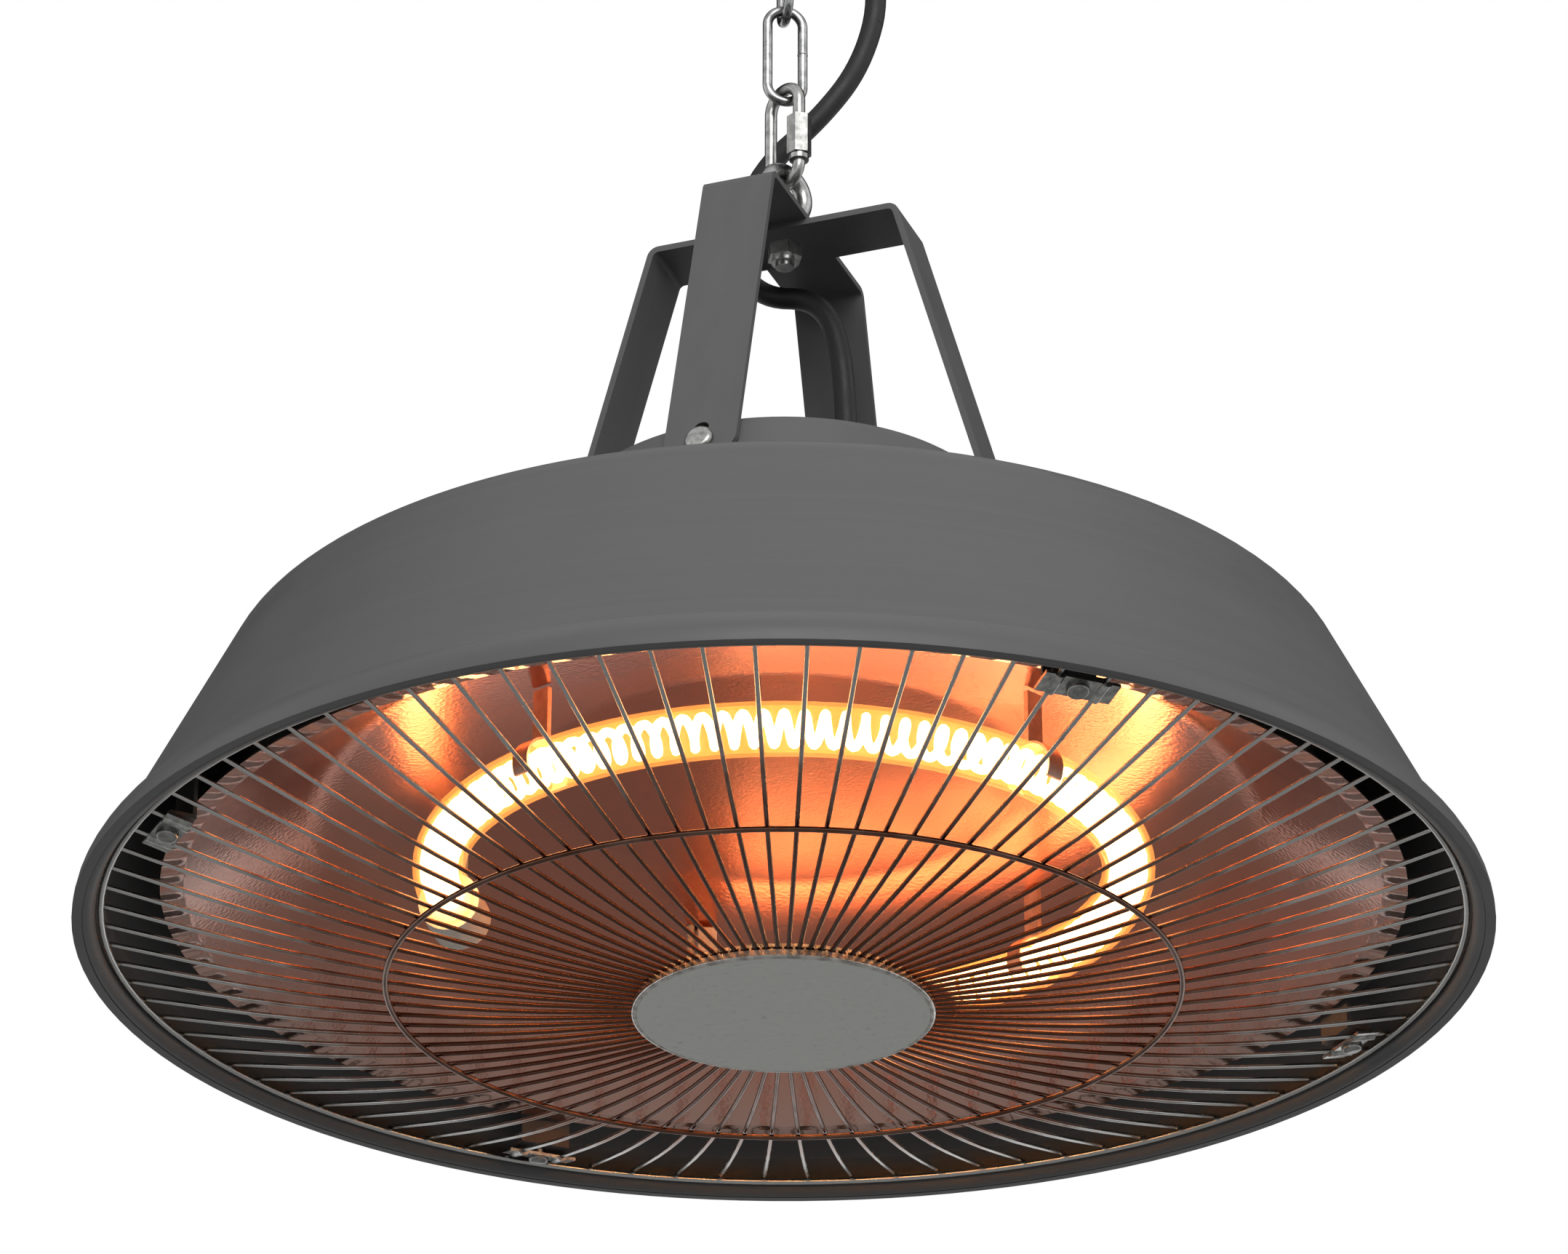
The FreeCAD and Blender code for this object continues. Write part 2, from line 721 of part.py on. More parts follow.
# The ring lamp: a quartz tube open over a sector, with a ceramic cap at each end.
lamp_end = size.lamp_start + size.lamp_sweep
tube_outer = ring("tube_outer", size.lamp_circle, size.lamp_radius, size.lamp_sweep,
                  size.lamp_height)
tube_inner = ring("tube_inner", size.lamp_circle, size.lamp_radius - size.lamp_wall,
                  size.lamp_sweep, size.lamp_height)
node(cut("lamp_tube", tube_outer, tube_inner), "lamp_tube",
     spin=FreeCAD.Rotation(UP, size.lamp_start.value))
stem_half = size.lamp_stem_width / 2
stem_top = reflector_under(size.lamp_circle + stem_half * 1.4) - size.seat_gap
stem_out = size.lamp_circle - stem_half
flat_axis = FreeCAD.Vector(1, 0, 0)
cap_front = rod("cap_front", size.lamp_cap_radius, size.lamp_cap_length, size.lamp_circle,
                size.seat_gap, size.lamp_height, FreeCAD.Rotation(flat_axis, -90))
cap_stem = block("cap_stem", size.lamp_stem_width, size.lamp_stem_width,
                 stem_top - size.lamp_height, stem_out, size.lamp_cap_length / 2 - stem_half,
                 size.lamp_height)
lamp_cap = fused("lamp_cap", [cap_front, cap_stem])
cap_back = rod("cap_back", size.lamp_cap_radius, size.lamp_cap_length, size.lamp_circle,
               -size.seat_gap, size.lamp_height, FreeCAD.Rotation(flat_axis, 90))
back_stem = block("back_stem", size.lamp_stem_width, size.lamp_stem_width,
                  stem_top - size.lamp_height, stem_out,
                  -size.lamp_cap_length / 2 - stem_half, size.lamp_height)
lamp_cap_back = fused("lamp_cap_back", [cap_back, back_stem])
doc.recompute()
cap_shapes = []
for base, turn in ((lamp_cap, lamp_end.value), (lamp_cap_back, size.lamp_start.value)):
    shape = base.Shape.copy()
    shape.Placement = about(turn)
    cap_shapes.append(shape)
lamp_caps = doc.addObject("Part::Feature", "lamp_caps")
lamp_caps.Shape = Part.makeCompound(cap_shapes)
node(lamp_caps, "lamp_caps")

# Spring clips that hold the tube up to the reflector between the caps.
clip_inner = size.lamp_radius + size.seat_gap
clip_outer = clip_inner + size.lamp_clip_wall
clip_hoop = rod("clip_hoop", clip_outer, size.lamp_stem_width, size.lamp_circle, stem_half,
                size.lamp_height, FreeCAD.Rotation(flat_axis, 90))
clip_post = block("clip_post", size.lamp_clip_wall * 2, size.lamp_stem_width,
                  stem_top - size.lamp_height, size.lamp_circle - size.lamp_clip_wall,
                  -stem_half, size.lamp_height)
clip_whole = fused("clip_whole", [clip_hoop, clip_post])
clip_bore = ring("clip_bore", size.lamp_circle, clip_inner, 20, size.lamp_height,
                 FreeCAD.Rotation(UP, -10))
clip_mouth = block("clip_mouth", clip_outer * 2, size.lamp_stem_width * 2, clip_outer,
                   size.lamp_circle - clip_outer, -size.lamp_stem_width,
                   size.lamp_height - size.lamp_radius / 2 - clip_outer)
lamp_clip = cut("lamp_clip", clip_whole, fused("clip_cuts", [clip_bore, clip_mouth]))
clip_turns = [size.lamp_start.value + size.lamp_sweep.value * share for share in (0.2, 0.5, 0.8)]
node(copies("lamp_clips", lamp_clip, [about(turn) for turn in clip_turns]), "lamp_clips")


def bent_path(points, bends):
    """Straight runs joined by tangent arcs, with one radius for each inner point."""
    edges = []
    last = points[0]
    for index, radius in enumerate(bends, start=1):
        spot = points[index]
        back = (points[index - 1] - spot).normalize()
        ahead = (points[index + 1] - spot).normalize()
        half = back.getAngle(ahead) / 2
        span = radius / math.tan(half)
        middle = (back + ahead).normalize()
        peak = spot + middle * (radius / math.sin(half) - radius)
        edges.append(Part.LineSegment(last, spot + back * span).toShape())
        edges.append(Part.Arc(spot + back * span, peak, spot + ahead * span).toShape())
        last = spot + ahead * span
    edges.append(Part.LineSegment(last, points[-1]).toShape())
    return Part.Wire(edges)


def tube_along(name, path, start, heading, radius):
    """A round tube along a path, compared with its section times its length."""
    section = Part.Wire([Part.Circle(start, heading, radius).toShape()])
    shape = path.makePipeShell([section], True, False)
    plain = math.pi * radius ** 2 * path.Length
    print("%s: length %.1f, volume %.5f of section times length"
          % (name, path.Length, shape.Volume / plain))
    return shape


# The lamp's two wires, up through the reflector and the shade to the terminal block.
block_low = size.shade_height + size.block_lift
block_top = block_low + size.block_height
wire_level = (reflector_top + shade_under) / 2
wire_step = size.lamp_cap_length - size.lamp_wire_radius * 2.5
wire_start = size.lamp_height + size.lamp_cap_radius + size.seat_gap
wire_shapes = []
wire_holes = []
grommet = rod("grommet", size.lamp_wire_radius * 1.7, size.reflector_flat_height,
              size.lamp_circle, wire_step, 0)
grommet_back = rod("grommet_back", size.lamp_wire_radius * 1.7, size.reflector_flat_height,
                   size.lamp_circle, -wire_step, 0)
doc.recompute()
hole_centre = size.wire_hole_radius.value
for base, turn, side, spot in ((grommet, lamp_end.value, 1, (-0.2, 0.7)),
                               (grommet_back, size.lamp_start.value, -1, (-0.4, 0.3))):
    shape = base.Shape.copy()
    shape.Placement = about(turn).multiply(shape.Placement)
    wire_holes.append(shape)
    foot = about(turn, size.lamp_circle.value, side * wire_step.value).Base
    head = FreeCAD.Vector(spot[0] * hole_centre, spot[1] * hole_centre, 0)
    points = [
        foot + UP * wire_start.value,
        foot + UP * wire_level.value,
        head + UP * wire_level.value,
        head + UP * (block_low.value - size.seat_gap.value),
    ]
    bend = size.lamp_wire_bend.value
    wire_shapes.append(tube_along("lamp wire", bent_path(points, [bend, bend]), points[0], UP,
                                  size.lamp_wire_radius.value))
reflector_drill = doc.addObject("Part::Feature", "reflector_drill")
reflector_drill.Shape = Part.makeCompound(wire_holes)
node(cut("reflector", reflector_dish, reflector_drill), "reflector")
lamp_leads = doc.addObject("Part::Feature", "lamp_leads")
lamp_leads.Shape = Part.makeCompound(wire_shapes)
node(lamp_leads, "lamp_leads")

# The terminal block stands on two feet over the hole in the shade's top.
block_side = size.gland_y + size.lead_radius - size.block_width
block_left = -size.block_length / 2
terminal_parts = [
    block("terminal_body", size.block_length, size.block_width, size.block_height,
          block_left, block_side, block_low),
    block("terminal_left", size.block_foot, size.block_width, size.block_lift,
          block_left, block_side, size.shade_height),
    block("terminal_right", size.block_foot, size.block_width, size.block_lift,
          size.block_length / 2 - size.block_foot, block_side, size.shade_height),
]
node(fused("terminal_block", terminal_parts), "terminal_block")


def bow(start, control, end):
    """An arc from start to end whose end tangents meet at the control point."""
    middle = (start + end) * 0.5
    rise = (control - middle).Length
    half = (end - start).Length / 2
    if rise < half * 0.000001:
        return Part.LineSegment(start, end).toShape()
    reach = half * math.tan(math.atan2(rise, half) / 2)
    return Part.Arc(start, middle + (control - middle) * (reach / rise), end).toShape()


def biarc(start, heading, end, leaving):
    """Two tangent arcs from one point and heading to another."""
    chord = end - start
    across = chord.dot(heading + leaving)
    spread = 2 * (1 - heading.dot(leaving))
    if spread < 0.000001:
        span = chord.dot(chord) / (2 * across)
    else:
        span = (math.sqrt(across ** 2 + spread * chord.dot(chord)) - across) / spread
    first = start + heading * span
    last = end - leaving * span
    joint = (first + last) * 0.5
    return [bow(start, first, joint), bow(joint, last, end)]


def wound_path(start, stations, end):
    """A straight start, arcs through each station of point and heading, a straight end."""
    edges = [Part.LineSegment(start, stations[0][0]).toShape()]
    for came, goes in zip(stations, stations[1:]):
        edges += biarc(came[0], came[1], goes[0], goes[1])
    edges.append(Part.LineSegment(stations[-1][0], end).toShape())
    return Part.Wire(edges)


def least_gap(name, path, radius, near, far):
    """The least space between a wound tube and itself, measured on points of its path."""
    count = int(path.Length / (radius * 0.5))
    step = path.Length / (count - 1)
    spots = [(spot.x, spot.y, spot.z) for spot in path.discretize(Number=count)]
    least = far
    for index, spot in enumerate(spots):
        for other in spots[index + int(near / step):index + int(far / step)]:
            least = min(least, math.dist(spot, other))
    print("%s: least gap to itself %.2f" % (name, least - 2 * radius))


# The filament: one wire curled round the middle of the lamp tube.
turn_reach = size.filament_radius.value
ring_reach = size.lamp_circle.value
wire_across = size.filament_wire.value
curls = int(size.filament_curls.value)
sweep_angle = math.radians(size.lamp_sweep.value)
curl_step = sweep_angle / (curls + 0.5)
straight_angle = wire_across / ring_reach


def filament_station(phase, angle, straight=False):
    """A point of the curls and its heading, at a phase of curl and an angle of the lamp."""
    outward = FreeCAD.Vector(math.cos(angle), math.sin(angle), 0)
    onward = FreeCAD.Vector(-math.sin(angle), math.cos(angle), 0)
    arm = ring_reach + turn_reach * math.cos(phase)
    spot = outward * arm + UP * (size.lamp_height.value + turn_reach * math.sin(phase))
    if straight:
        return spot, onward
    heading = (UP * math.cos(phase) - outward * math.sin(phase)) * turn_reach
    heading += onward * (arm * curl_step / (2 * math.pi))
    return spot, heading.normalize()


stations = [filament_station(0, straight_angle, True)]
for index in range(2 * curls - 1):
    phase = math.pi * (index + 0.5)
    share = (index + 0.5) / (2 * curls)
    angle = straight_angle + (sweep_angle - 2 * straight_angle) * share
    stations.append(filament_station(phase, angle))
stations.append(filament_station(0, sweep_angle - straight_angle, True))
first_spot = stations[0][0] - stations[0][1] * wire_across
last_spot = stations[-1][0] + stations[-1][1] * wire_across
filament_path = wound_path(first_spot, stations, last_spot)
filament = doc.addObject("Part::Feature", "filament")
filament.Shape = tube_along("filament", filament_path, first_spot, stations[0][1],
                            wire_across / 2)
least_gap("filament", filament_path, wire_across / 2, turn_reach * math.pi, turn_reach * 15)
node(filament, "filament", spin=FreeCAD.Rotation(UP, size.lamp_start.value))

# The guard: wires that fan out from the hub, bow up towards the rim and are welded to two rings.
guard_bow_radius = size.rim_radius - size.guard_bow_inset
fan_slope = ((size.guard_bow_height - size.guard_inner_height)
             / (guard_bow_radius - size.guard_inner_radius))
fan_lean = root(fan_slope * fan_slope + 1)
fan_half = size.guard_wire / 2 * fan_lean


def fan_height(radius):
    """Height of a guard wire's middle at a radius inside its bow."""
    return size.guard_inner_height + (radius - size.guard_inner_radius) * fan_slope


rim_slope = ((size.guard_rim_height - size.guard_bow_height)
             / (guard_ring_radius - guard_bow_radius))
rim_lean = root(rim_slope * rim_slope + 1)
rim_half = size.guard_wire / 2 * rim_lean
rim_hold = ((size.guard_wire + size.guard_ring_wire) / 2 + size.seat_gap) * rim_lean
bow_turn = (fan_slope * rim_slope + 1) / (fan_lean * rim_lean)
bow_span = size.guard_bend * root((as_size(1) - bow_turn) / (bow_turn + 1))
bow_middle = guard_bow_radius - (bow_span + fan_slope * size.guard_bend) / fan_lean
bow_top = size.guard_bow_height + (size.guard_bend - fan_slope * bow_span) / fan_lean


def outer_height(radius):
    """Height of a guard wire's middle at a radius outside its bow."""
    return size.guard_rim_height - (guard_ring_radius - radius) * rim_slope


def bow_height(radius):
    """Height of a guard wire's middle at a radius within its bow."""
    across = radius - bow_middle
    return bow_top - root(size.guard_bend * size.guard_bend - across * across)


wire_end = guard_ring_radius + size.guard_ring_wire / 2
wire_points = [
    FreeCAD.Vector(size.guard_inner_radius.value, 0, size.guard_inner_height.value),
    FreeCAD.Vector(guard_bow_radius.value, 0, size.guard_bow_height.value),
    FreeCAD.Vector(wire_end.value, 0, outer_height(wire_end).value),
]
guard_path = bent_path(wire_points, [size.guard_bend.value])
guard_wire = doc.addObject("Part::Feature", "guard_wire")
guard_wire.Shape = tube_along("guard wire", guard_path, wire_points[0],
                              (wire_points[1] - wire_points[0]).normalize(),
                              size.guard_wire.value / 2)
guard_step = 360 / int(size.guard_count.value)
node(copies("guard_wires", guard_wire,
            [about(guard_step * (index + 0.5)) for index in range(int(size.guard_count.value))]),
     "guard_wires")
node(ring("guard_rim_ring", guard_ring_radius, size.guard_ring_wire / 2),
     "guard_rim_ring", z=size.guard_rim_height - rim_hold)
mid_hold = ((size.guard_wire + size.mid_ring_wire) / 2 + size.seat_gap) * rim_lean
node(ring("guard_mid_ring", size.mid_ring_radius, size.mid_ring_wire / 2),
     "guard_mid_ring", z=bow_height(size.mid_ring_radius) - mid_hold)

# The hub clamps the inner ends of the wires between a band and a plate.
band_inner = size.hub_radius - size.hub_band_wall
band_top = fan_height(band_inner) - fan_half - size.seat_gap
hub_low = band_top - size.hub_height
plate_low = fan_height(band_inner) + fan_half + size.seat_gap
disc_top = hub_low + size.hub_wall
node(turned("hub_ring", [
    corner(band_inner, hub_low),
    corner(size.hub_radius, hub_low, rounding=size.hub_band_wall * 0.4),
    corner(size.hub_radius, band_top),
    corner(band_inner, band_top),
]), "hub_ring")
node(rod("hub_disc", band_inner - size.seat_gap, size.hub_wall), "hub_disc", z=hub_low)
node(turned("hub_plate", [
    corner(0, disc_top),
    corner(size.hub_boss_radius, disc_top),
    corner(size.hub_boss_radius, plate_low),
    corner(band_inner, plate_low),
    corner(band_inner, plate_low + size.hub_plate_wall),
    corner(0, plate_low + size.hub_plate_wall),
]), "hub_plate")

# Tabs on the shade's wall, each with a clip screwed up to it over two of the guard wires.
tab_low = outer_height(foot_end) + rim_half + size.seat_gap
tab_top = tab_low + size.tab_rise
tab_under = tab_top - size.tab_wall
tab_back = tab_leg_radius + size.tab_wall
tab_sheet = turned("tab_sheet", [
    corner(foot_end, tab_low),
    corner(foot_end, tab_low + size.tab_wall),
    corner(tab_back, tab_low + size.tab_wall),
    corner(tab_back, tab_under),
    corner(inside_wall(tab_under) - size.seat_gap, tab_under),
    corner(inside_wall(tab_top) - size.seat_gap, tab_top),
    corner(tab_leg_radius, tab_top),
    corner(tab_leg_radius, tab_low),
], size.tab_spread)
clip_radius = foot_end - size.clip_inset
clip_height = outer_height(clip_radius)
long_axis = FreeCAD.Vector(0, 1, 0)
rim_tilt = -math.degrees(math.atan(rim_slope.value))
tab_drill = rod("tab_drill", size.small_screw_shank + size.screw_gap, size.screw_length,
                clip_radius, 0, clip_height, FreeCAD.Rotation(long_axis, rim_tilt))
tab_piece = cut("tab_piece", tab_sheet, tab_drill)
clip_turns = []
for turn in quarters(45):
    clip_turns.append(guard_step * round(turn / guard_step))
node(copies("guard_tabs", tab_piece, [about(turn) for turn in clip_turns]), "guard_tabs")
half_step = Size(guard_step / 2, "(180 / Sizes.guard_count)")
saddle_side = clip_radius * sine(half_step)
saddle_bore = size.guard_wire / 2 + size.screw_gap
saddle_reach = saddle_bore + size.clip_wall
clip_half = saddle_side + saddle_reach + size.clip_ear
lie_down = FreeCAD.Rotation(long_axis, 90)
saddles = []
channels = []
for side, swing in ((saddle_side, half_step.value), (-saddle_side, -half_step.value)):
    spin = FreeCAD.Rotation(UP, swing).multiply(lie_down)
    drift = size.clip_length / 2 * sine(half_step)
    start = side - drift if swing > 0 else side + drift
    twice = start - drift if swing > 0 else start + drift
    saddles.append(rod("saddle_%d" % len(saddles), saddle_reach, size.clip_length,
                       -size.clip_length / 2, start, 0, spin))
    channels.append(rod("channel_%d" % len(channels), saddle_bore, size.clip_length * 2,
                        -size.clip_length, twice, 0, spin))
clip_plate = block("clip_plate", size.clip_length, clip_half * 2, size.clip_wall,
                   -size.clip_length / 2, -clip_half, -size.clip_wall)
clip_over = block("clip_over", size.clip_length * 2, clip_half * 2, saddle_reach * 2,
                  -size.clip_length, -clip_half, 0)
clip_drill = rod("clip_drill", size.small_screw_shank + size.screw_gap, size.clip_wall * 4,
                 0, 0, -size.clip_wall * 3)
guard_clip = cut("guard_clip", fused("clip_solid", saddles + [clip_plate]),
                 fused("clip_tools", channels + [clip_over, clip_drill]))
clip_spots = [about(turn, clip_radius.value, 0, clip_height.value, rim_tilt)
              for turn in clip_turns]
node(copies("guard_clips", guard_clip, clip_spots), "guard_clips")
screw_spots = []
for spot in clip_spots:
    seat = FreeCAD.Placement(UP * -size.clip_wall.value, FreeCAD.Rotation(flat_axis, 180))
    screw_spots.append(spot.multiply(seat))
node(copies("guard_screws", small_screw, screw_spots), "guard_screws")

# The gland that the lead leaves by, its nut inside the drum and the lead down to the block.
gland_bore = size.lead_radius + size.seat_gap
thread_low = -(size.drum_wall + size.gland_nut_height * 1.4)
node(turned("cable_gland", [
    corner(gland_bore, thread_low),
    corner(size.gland_thread_radius, thread_low),
    corner(size.gland_thread_radius, 0),
    corner(size.gland_flange_radius, 0),
    corner(size.gland_flange_radius, size.gland_flange_height),
    corner(size.gland_boot_radius, size.gland_flange_height),
    corner(size.gland_tip_radius, size.gland_height),
    corner(gland_bore, size.gland_height),
]), "cable_gland", size.gland_x, size.gland_y, drum_top)
gland_hex = hexagon("gland_hex", size.gland_nut_flats, size.gland_nut_height)
gland_tap = rod("gland_tap", size.gland_thread_radius + size.seat_gap,
                size.gland_nut_height * 3, 0, 0, -size.gland_nut_height)
node(cut("gland_nut", gland_hex, gland_tap), "gland_nut", size.gland_x, size.gland_y,
     drum_top - size.drum_wall - size.gland_nut_height)
gland_tip = drum_top + size.gland_height
node(rod("lead_inner", size.lead_radius, gland_tip - block_top), "lead_inner",
     size.gland_x, size.gland_y, block_top)

# The lead's free stretch: from the gland, out between the straps and up beside the chain.
lead_across = size.lead_radius.value * 2
coil_spin = FreeCAD.Rotation(UP, size.coil_turn.value)


def coil_spot(across, depth, height):
    """A point given across, behind and up, in the upright plane that the coil hangs in."""
    return coil_spin.multVec(FreeCAD.Vector(across, depth, height))


coil_start = coil_spot(size.coil_across.value + size.coil_outer_radius.value,
                       size.coil_depth.value, size.coil_height.value - lead_across)
gland_spot = FreeCAD.Vector(size.gland_x.value, size.gland_y.value, gland_tip.value)
lead_points = [
    gland_spot,
    gland_spot + UP * 29,
    FreeCAD.Vector(6.0, 19.5, 227.0),
    FreeCAD.Vector(-15.5, 17.7, 237.0),
    FreeCAD.Vector(-26.2, 20.6, 261.0),
    FreeCAD.Vector(-18.0, 24.0, 288.0),
    FreeCAD.Vector(0.5, 30.0, 307.0),
    FreeCAD.Vector(13.8, 35.0, 328.0),
    FreeCAD.Vector(20.0, 37.0, 356.0),
    FreeCAD.Vector(12.9, 33.3, 385.0),
    coil_start - UP * 23,
    coil_start,
]
lead_bends = []
for came, spot, goes in zip(lead_points, lead_points[1:], lead_points[2:]):
    turn = (spot - came).getAngle(goes - spot)
    run = min((spot - came).Length, (goes - spot).Length)
    lead_bends.append(0.45 * run / math.tan(turn / 2))
print("lead radii:", ", ".join("%.1f" % radius for radius in lead_bends))
lead_stretch = doc.addObject("Part::Feature", "lead_stretch")
lead_stretch.Shape = tube_along("lead stretch", bent_path(lead_points, lead_bends), gland_spot,
                                UP, size.lead_radius.value)
node(lead_stretch, "lead_stretch")

# The rest of the lead, wound in two layers: in along the first and out along the second.
loops = size.coil_loops.value
half_loops = loops / 2
layer_back = size.coil_depth.value
layer_front = layer_back - size.coil_layer.value


def coil_station(loop, straight=False):
    """A point of the winding and its heading, after a number of loops."""
    angle = 2 * math.pi * loop
    side = 1 if loop < half_loops else -1
    rate = 0 if straight or loop == half_loops else -side * size.coil_pitch.value
    reach = size.coil_outer_radius.value - size.coil_pitch.value * min(loop, loops - loop)
    climb = min(max((loop - half_loops + 0.25) * 2, 0), 1)
    depth = layer_back + (layer_front - layer_back) * (1 - math.cos(math.pi * climb)) / 2
    slope = (layer_front - layer_back) * math.pi * math.sin(math.pi * climb)
    spot = coil_spot(size.coil_across.value + reach * math.cos(angle), depth,
                     size.coil_height.value + reach * math.sin(angle))
    heading = coil_spin.multVec(FreeCAD.Vector(
        rate * math.cos(angle) - 2 * math.pi * reach * math.sin(angle), slope,
        rate * math.sin(angle) + 2 * math.pi * reach * math.cos(angle)))
    return spot, heading.normalize()


quarter_loops = int(round(loops * 4))
coil_stations = [coil_station(0, True)]
for index in range(1, quarter_loops):
    coil_stations.append(coil_station(index * 0.25))
coil_stations.append(coil_station(loops, True))
coil_end = coil_stations[-1][0] - UP * size.coil_tail.value
coil_path = wound_path(coil_start, coil_stations, coil_end)
lead_coil = doc.addObject("Part::Feature", "lead_coil")
lead_coil.Shape = tube_along("lead coil", coil_path, coil_start, UP, size.lead_radius.value)
least_gap("lead coil", coil_path, size.lead_radius.value,
          size.coil_outer_radius.value * 1.2, coil_path.Length)
node(lead_coil, "lead_coil")

# Two fabric ties strap the coil's near side to a chain link.
tie_right = size.coil_across + size.coil_outer_radius + size.lead_radius + size.tie_gap
tie_left = (size.coil_across + size.coil_outer_radius - size.coil_pitch * 2.5
            - size.lead_radius - size.coil_pitch * 0.5)
tie_back = size.coil_depth + size.lead_radius + size.tie_gap
tie_front = -size.chain_wire


def tie_outline(spread, rounding):
    return [
        corner(tie_left - spread, tie_front - spread, rounding=rounding),
        corner(tie_right + spread, tie_front - spread, rounding=rounding),
        corner(tie_right + spread, tie_back + spread, rounding=rounding),
        corner(tie_left - spread, tie_back + spread, rounding=rounding),
    ]


for name, offset in (("coil_tie_low", -size.tie_offset), ("coil_tie_high", size.tie_offset)):
    band = padded(name, "XY_Plane", tie_outline(size.tie_wall, size.tie_round + size.tie_wall),
                  size.tie_height, tie_outline(as_size(0), size.tie_round))
    node(band, name, z=size.coil_height + offset, spin=coil_spin)

# The plug hangs below the coil's outer side, with its pins down.
plug_floor = size.plug_neck_length + size.plug_length
plug_body = turned("plug_body", [
    corner(0, 0),
    corner(size.plug_neck_radius, 0),
    corner(size.plug_neck_radius, -size.plug_neck_length),
    corner(size.plug_radius, -size.plug_neck_length, rounding=size.plug_radius * 0.3),
    corner(size.plug_radius, -plug_floor, rounding=size.plug_radius * 0.15),
    corner(0, -plug_floor),
])
plug_across = size.coil_across - size.coil_outer_radius
plug_depth = size.coil_depth - size.coil_layer
plug_x = plug_across * cosine(size.coil_turn) - plug_depth * sine(size.coil_turn)
plug_y = plug_across * sine(size.coil_turn) + plug_depth * cosine(size.coil_turn)
plug_z = size.coil_height - size.coil_tail
node(plug_body, "plug_body", plug_x, plug_y, plug_z, coil_spin)
pin = turned("pin", [
    corner(0, 0),
    corner(size.pin_radius, 0),
    corner(size.pin_radius, -size.pin_length, rounding=size.pin_radius * 0.6),
    corner(0, -size.pin_length),
])
pin_half = size.pin_spacing.value / 2
node(copies("plug_pins", pin, [about(0, -pin_half), about(0, pin_half)]), "plug_pins",
     plug_x, plug_y, plug_z - plug_floor)

# Every object has to have come out sound before any piece is written.
doc.recompute()
faults = []
for item in doc.Objects:
    if "Invalid" in item.State or "Error" in item.State:
        faults.append("%s is in state %s" % (item.Name, item.State))
for name, item in nodes.items():
    if item.Shape.isNull() or not item.Shape.isValid() or not item.Shape.Solids:
        faults.append("%s has no sound shape" % name)
if faults:
    raise RuntimeError("; ".join(faults))
os.makedirs("parts", exist_ok=True)
for name, item in nodes.items():
    item.Shape.exportStep("parts/%s.step" % name)
print("%d pieces, hanging height %.2f" % (len(nodes), hang.value))
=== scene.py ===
import math

import bpy
from mathutils import Matrix, Vector


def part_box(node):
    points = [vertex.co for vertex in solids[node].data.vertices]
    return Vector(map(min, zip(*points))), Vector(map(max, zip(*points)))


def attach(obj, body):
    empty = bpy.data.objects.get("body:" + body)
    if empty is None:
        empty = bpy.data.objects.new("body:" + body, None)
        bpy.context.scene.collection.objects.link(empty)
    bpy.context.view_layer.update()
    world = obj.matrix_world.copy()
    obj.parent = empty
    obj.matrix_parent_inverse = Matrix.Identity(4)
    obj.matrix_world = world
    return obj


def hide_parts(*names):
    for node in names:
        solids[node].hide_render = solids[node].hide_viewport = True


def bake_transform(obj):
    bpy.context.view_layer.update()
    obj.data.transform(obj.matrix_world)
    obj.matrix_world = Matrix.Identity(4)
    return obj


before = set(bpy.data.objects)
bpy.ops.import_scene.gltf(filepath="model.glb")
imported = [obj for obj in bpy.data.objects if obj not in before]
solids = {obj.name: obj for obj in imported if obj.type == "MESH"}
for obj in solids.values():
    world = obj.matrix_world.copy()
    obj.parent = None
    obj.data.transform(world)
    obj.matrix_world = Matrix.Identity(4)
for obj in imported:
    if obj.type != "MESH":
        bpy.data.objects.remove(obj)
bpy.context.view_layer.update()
bpy.ops.object.select_all(action="DESELECT")

# The studio: a pale floor far below the hanging heater, three soft lights, and a white
# surround that bright metal mirrors, with two black flags that only show in gloss. The
# camera looks up at the heater from in front.
scene = bpy.context.scene
scene.view_settings.view_transform = "Standard"
camera = bpy.data.objects.new("camera", bpy.data.cameras.new("camera"))
scene.collection.objects.link(camera)
camera.data.sensor_fit = "HORIZONTAL"
camera.data.sensor_width = 36
camera.data.lens = 133.92
camera.location = (0.56971, -1.50850, -1.17005)
sight = Vector((-0.31692, 0.83905, 0.44222)).to_track_quat("-Z", "Y").to_matrix()
camera.matrix_world = (Matrix.Translation(camera.location) @ sight.to_4x4()
                       @ Matrix.Rotation(math.radians(0.09), 4, "Z"))
scene.camera = camera


def soft_light(name, spot, aim, across, watts, tint):
    """A square studio light at a spot, turned towards what it lights."""
    light = bpy.data.objects.new(name, bpy.data.lights.new(name, "AREA"))
    light.data.size = across
    light.data.energy = watts
    light.data.color = tint
    light.location = spot
    light.rotation_euler = (Vector(aim) - Vector(spot)).to_track_quat("-Z", "Y").to_euler()
    scene.collection.objects.link(light)


middle = (0.0, 0.0, -0.36)
soft_light("front_light", (0.94, -1.75, 0.60), middle, 1.6, 34, (1.0, 0.99, 0.97))
soft_light("left_light", (-2.0, -0.9, 0.5), middle, 1.4, 2, (0.97, 0.98, 1.0))
soft_light("right_light", (2.1, 0.5, 0.6), middle, 1.4, 4, (1.0, 1.0, 1.0))

